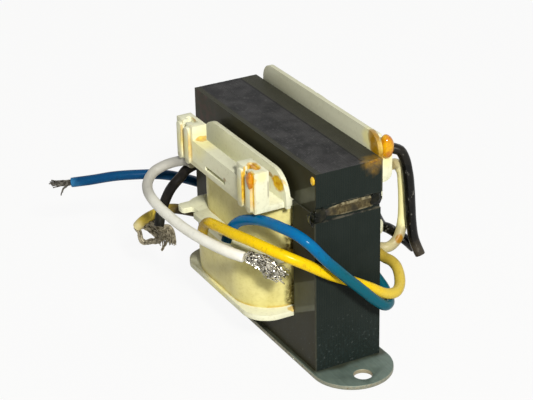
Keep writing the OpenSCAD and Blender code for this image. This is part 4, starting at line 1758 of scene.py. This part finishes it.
# The leads, each with its route from where it starts in the bobbin
LEADS: Tuple[Lead, ...] = (
    Lead(
        "white_lead",
        Insulation.WHITE,
        (
            (-17, -18.4, 42), (-19.7, -18.8, 41.9), (-23.4, -19.8, 40.4), (-25.5, -21.3, 39.3),
            (-26.5, -23.1, 38.4), (-26.9, -24.9, 37.5), (-25.9, -26.7, 36.9), (-24.3, -28.3, 36.2),
            (-22.5, -29.4, 35.8), (-19.8, -30.3, 35.2), (-14.3, -31, 34.7), (-7, -31, 34.3),
            (2, -30.2, 33.8), (10.7, -28.6, 33.6), (17.8, -26, 33.1), (21.4, -23.5, 32.5),
        ),
        strands=BareStrands(
            "white_strands",
            Conductor.BRIGHT,
            (
                Bundle(
                    ((22, -23, 32), (24.1, -20.9, 30.8), (27, -19.2, 29.4), (30.7, -17.6, 28.9)),
                    20, 1.4, 1.7,
                ),
                Bundle(
                    ((23.1, -22.9, 33.8), (26.1, -20.5, 33.7), (28.8, -18.7, 31.9), (31.2, -17.1, 30.1)),
                    20, 1.4, 1.7,
                ),
                Bundle(
                    ((22.6, -22.9, 32.9), (25.2, -20.7, 32.2), (27.9, -18.9, 30.7), (30.9, -17.4, 29.5)),
                    18, 1.4, 1.7,
                ),
            ),
            wire_d=0.23, curl=0.4, kink=0.9, twist=5.0, seed=6,
        ),
    ),
    Lead(
        "black_lead_1",
        Insulation.SOOT,
        (
            (-20.5, -5.2, 40.2), (-20.5, -11.5, 40.2), (-21.3, -15.4, 39.3), (-22.1, -18, 37.9),
            (-22.7, -19.3, 36), (-23, -21.1, 34.3), (-24, -22.2, 32.1), (-24.7, -23.2, 29.5),
            (-24.7, -24.3, 27), (-24.5, -25.2, 24.8), (-23.7, -26, 22.5),
        ),
        strands=BareStrands(
            "black_strands",
            Conductor.SOILED,
            (
                Bundle(
                    ((-22.8, -23.9, 22), (-22, -23.2, 20.5), (-21.5, -23, 18.4), (-21.2, -22.9, 16.8)),
                    22, 1.6, 1.3,
                ),
                Bundle(((-23.4, -24, 20.7), (-22.8, -23.4, 18.5), (-22.4, -23.3, 16.7)), 18, 1.5, 1.3),
                Bundle(((-24, -24.7, 20.8), (-24.6, -24.8, 18.6), (-25, -24.9, 16.4)), 24, 1.9, 1.5),
                Bundle(
                    ((-23.4, -23.8, 19.6), (-23.8, -24.1, 16.8), (-24.6, -25.3, 14.2)),
                    7, 0.9, 0.9, 0.95,
                ),
            ),
            wire_d=0.3, curl=0.25, kink=0.3, seed=9,
        ),
    ),
    Lead(
        "black_lead_2",
        Insulation.BLACK,
        (
            (19.3, 21.1, 51.2), (20.3, 22.8, 50.5), (21.2, 23.7, 48.3), (22, 24.2, 44.6),
            (22.2, 24.6, 40.5), (22.5, 24.8, 35.4), (22.4, 25.2, 30.7), (22.5, 26, 25.5),
            (23.4, 26.5, 23.1), (24.3, 27, 21.2),
        ),
    ),
    Lead(
        "black_lead_3",
        Insulation.BLACK,
        (
            (-2.4, 17.3, 33.7), (2, 17.3, 33.6), (4.4, 18.9, 33.1), (6.4, 21.5, 31.3),
            (8, 22.6, 28.6), (10, 22.7, 26.6), (12.4, 22.7, 25.6), (14.3, 23.3, 25.6),
            (16, 24.2, 25), (17.7, 25.2, 24.1), (18.7, 26.6, 22.7), (19.3, 28.3, 20.7),
        ),
    ),
    Lead(
        "cream_lead",
        Insulation.CREAM,
        (
            (19.3, 20.75, 46.6), (18.9, 22.5, 46.3), (18.9, 24.2, 44), (18.9, 24.8, 39.4),
            (19.1, 24.9, 34.3), (19.2, 24.7, 30.3), (19.6, 23.9, 27.5), (20.3, 22.5, 25.5),
            (20.4, 20.7, 24), (20.4, 19, 23.7), (17, 15.3, 23.6),
        ),
        far_end=FarEnd.COIL,
    ),
    Lead(
        "blue_lead_1",
        Insulation.NAVY,
        (
            (-17.4, 14.6, 25.5), (-22.3, 17.2, 25), (-29, 17.4, 24.2), (-34.2, 13.4, 23.4),
            (-36.3, 7, 23), (-36.6, 0.5, 23.4), (-36.6, -5.9, 25.2), (-37.3, -9.8, 27),
            (-38.6, -14.7, 28.9), (-40.1, -18.7, 29.7), (-42, -22.9, 29.9), (-45.2, -29.1, 29.6),
            (-48.6, -35.3, 28.5), (-51, -39.9, 27.9),
        ),
        strands=BareStrands(
            "blue_strands",
            Conductor.DARK,
            (
                Bundle(((-52.4, -42.8, 27.7), (-54, -45.2, 27.5)), 22, 1.7, 1.5),
                Bundle(((-51.6, -41.4, 26.8), (-52.7, -42, 25.4), (-53.2, -42.2, 23.7)), 3, 0.8, 1.0, 0.9),
            ),
            curl=0.2, kink=0.25, seed=13,
        ),
    ),
    Lead(
        "blue_lead_2",
        Insulation.BLUE,
        (
            (18.75, 12.9, 19), (23.2, 12.9, 19.5), (27.2, 11.9, 19.8), (30.9, 11.6, 18.9),
            (34, 10.9, 18), (36.8, 9.6, 17.8), (38.6, 7.3, 18.4), (39.2, 4.3, 20.8),
            (39.5, -0.3, 25.5), (39.3, -5.2, 30.6), (38.3, -9.9, 35.8), (36.6, -13.1, 39.9),
            (33.7, -15.1, 41.8), (28.8, -16.8, 42.2), (22.9, -17.8, 41.5), (17.5, -18.9, 40.1),
            (13, -20, 38), (10.5, -20.9, 35.6), (9.7, -21.6, 33.6), (9.8, -22.5, 31.5),
        ),
    ),
    Lead(
        "yellow_lead_1",
        Insulation.OCHRE,
        (
            (-20.5, -3.4, 24.2), (-20.5, -7, 24.2), (-20.5, -10.9, 24.3), (-21.9, -14.8, 24.6),
            (-24.7, -18.6, 25.2), (-26, -20.5, 25.4), (-27.6, -22.8, 24.9), (-28.8, -24.8, 23.7),
            (-29.9, -26.4, 22.6), (-31.2, -27.6, 21.2), (-32.8, -28.5, 19.1),
        ),
        strands=BareStrands(
            "yellow_strands",
            Conductor.SOILED,
            (
                Bundle(
                    (
                        (-32.2, -28.3, 17.7), (-31.8, -28.2, 15.7), (-31, -27.7, 14.7),
                        (-29.2, -26.6, 15.4), (-27.6, -25.3, 16.2), (-26.6, -24.4, 16.9),
                    ),
                    20, 1.5, 1.1, 0.92,
                ),
                Bundle(
                    (
                        (-31.4, -27, 19.4), (-30, -26.3, 19.2), (-28.6, -25.4, 18.3), (-27.4, -24.4, 17.2),
                        (-27, -24.1, 15.5),
                    ),
                    24, 1.7, 1.6,
                ),
                Bundle(
                    (
                        (-31.2, -26.9, 20.2), (-29.4, -25.9, 21.2), (-27.4, -24.7, 20.5),
                        (-26.2, -23.9, 19.1), (-25.8, -23.4, 17.2),
                    ),
                    24, 1.7, 1.6,
                ),
            ),
            wire_d=0.3, curl=0.3, kink=0.3, seed=17,
        ),
    ),
    Lead(
        "yellow_lead_2",
        Insulation.YELLOW,
        (
            (18.75, 12.9, 25.5), (21.2, 13.8, 25.4), (24.7, 15.6, 23.6), (27.4, 16.1, 23.6),
            (30.3, 15.9, 23.2), (33.4, 14.8, 22.1), (36, 13.1, 21.1), (37.8, 10.7, 20.8),
            (37.8, 8, 21.2), (36.6, 4, 23.4), (35.8, -1.4, 26.5), (35.4, -6.9, 29.5),
            (34.8, -12.2, 33), (32.6, -16.5, 35.4), (28.5, -20.1, 37), (23.1, -22.5, 37.6),
            (16.5, -24.1, 37.2), (9.4, -24.7, 36.3), (4.5, -25, 35.2), (2, -25, 32.8),
            (0.5, -24.8, 29.4),
        ),
    ),
)


# The studio


@dataclass
class Lamp:
    """A square soft lamp that shines at the part."""

    name: str
    place: Triple
    size: float
    watts: float
    tint: Triple = WHITE

    def build(self, aim: Vector) -> None:
        """Hang the lamp and turn it to the part.

        Args:
            aim: the point that it shines at.
        """
        data = bpy.data.lights.new(self.name, "AREA")
        data.size, data.energy, data.color = self.size, self.watts, self.tint
        lamp = bpy.data.objects.new(self.name, data)
        lamp.location = self.place
        lamp.rotation_euler = (aim - lamp.location).to_track_quat("-Z", "Y").to_euler()
        bpy.context.scene.collection.objects.link(lamp)


@dataclass
class Studio:
    """Camera, lamps, floor and backdrop, with lengths in metres."""

    eye: Triple = (0.358906, -0.195196, 0.229705)
    right: Triple = (0.47582, 0.87931, -0.02006)
    up: Triple = (-0.37177, 0.22173, 0.90146)
    back: Triple = (0.79711, -0.42148, 0.43241)
    lens: float = 115.93
    sensor: float = 36.0
    clip: Tuple[float, float] = (0.01, 20.0)
    # Middle of the part, at which the lamps shine
    aim: Triple = (0.0, 0.0, 0.025)
    sky: float = 0.13
    sky_tint: Triple = (1.0, 0.975, 0.83)
    floor_r: float = 3.0
    floor_sides: int = 96
    floor_z: float = -0.0002
    floor_dark: Triple = (0.56, 0.55, 0.52)
    floor_pale: Triple = (0.60, 0.59, 0.56)
    # Share of plain white in what is seen of the floor
    floor_glow: float = 0.92
    lamps: Tuple[Lamp, ...] = (
        Lamp("key", (0.66, -0.20, 0.52), 0.09, 8.1, (1.0, 0.985, 0.94)),
        Lamp("fill", (-0.30, -0.70, 0.35), 0.5, 0.33, (1.0, 0.99, 0.95)),
        Lamp("back", (-0.25, 0.60, 0.50), 0.4, 0.8),
    )

    def build(self) -> None:
        """Set up everything that isn't part of the object."""
        scene = bpy.context.scene
        scene.view_settings.view_transform = "Standard"
        self.camera(scene)
        for lamp in self.lamps:
            lamp.build(Vector(self.aim))
        self.world(scene)
        self.floor()

    def camera(self, scene: bpy.types.Scene) -> None:
        """Stand the camera where the photograph was taken from.

        Args:
            scene: the scene that it films.
        """
        data = bpy.data.cameras.new("camera")
        data.lens, data.sensor_width, data.sensor_fit = self.lens, self.sensor, "HORIZONTAL"
        data.clip_start, data.clip_end = self.clip
        camera = bpy.data.objects.new("camera", data)
        turn = Matrix((self.right, self.up, self.back)).transposed().to_4x4()
        camera.matrix_world = Matrix.Translation(self.eye) @ turn
        scene.collection.objects.link(camera)
        scene.camera = camera

    def world(self, scene: bpy.types.Scene) -> None:
        """Set soft warm surroundings that show as plain white behind the part.

        Args:
            scene: the scene that they surround.
        """
        world = bpy.data.worlds.new("surroundings")
        world.use_nodes = True
        scene.world = world
        nodes = Nodes(world.node_tree)
        light = nodes.add("ShaderNodeBackground", inputs={"Color": self.sky_tint, "Strength": self.sky})
        backdrop = nodes.add("ShaderNodeBackground", inputs={"Color": WHITE, "Strength": 1.0})
        both = nodes.add("ShaderNodeMixShader", inputs={0: nodes.seen(), 1: light, 2: backdrop})
        nodes.set(nodes.tree.nodes.new("ShaderNodeOutputWorld").inputs[0], both)

    def floor(self) -> None:
        """Lay a pale floor that keeps a faint shadow."""
        work = bmesh.new()
        bmesh.ops.create_circle(work, cap_ends=True, segments=self.floor_sides, radius=self.floor_r)
        mesh = bpy.data.meshes.new("floor")
        work.to_mesh(mesh)
        work.free()
        floor = bpy.data.objects.new("floor", mesh)
        floor.location.z = self.floor_z
        bpy.context.scene.collection.objects.link(floor)
        graph = Graph("floor_white")
        tone = graph.mix(self.floor_dark, self.floor_pale, graph.grain(40.0, 2.0))
        graph.coat(Base_Color=tone, Roughness=0.9)
        glow = graph.add("ShaderNodeEmission", inputs={"Color": WHITE, "Strength": 1.0})
        lit = Shade(graph, graph.shader.outputs[0])
        share = graph.seen() * self.floor_glow
        shown = graph.add("ShaderNodeMixShader", inputs={0: share, 1: lit, 2: glow})
        graph.set(graph.output.inputs[0], shown)
        mesh.materials.append(graph.material)


def main() -> None:
    """Build the studio and every sub-assembly in order."""
    logging.basicConfig(level=logging.INFO, format="%(name)s: %(message)s")
    Studio().build()
    for lead in LEADS:
        lead.build()
    FootPlate().build()
    Core().build()
    Coil().build()
    VarnishRuns().build()


if __name__ == "__main__":
    main()
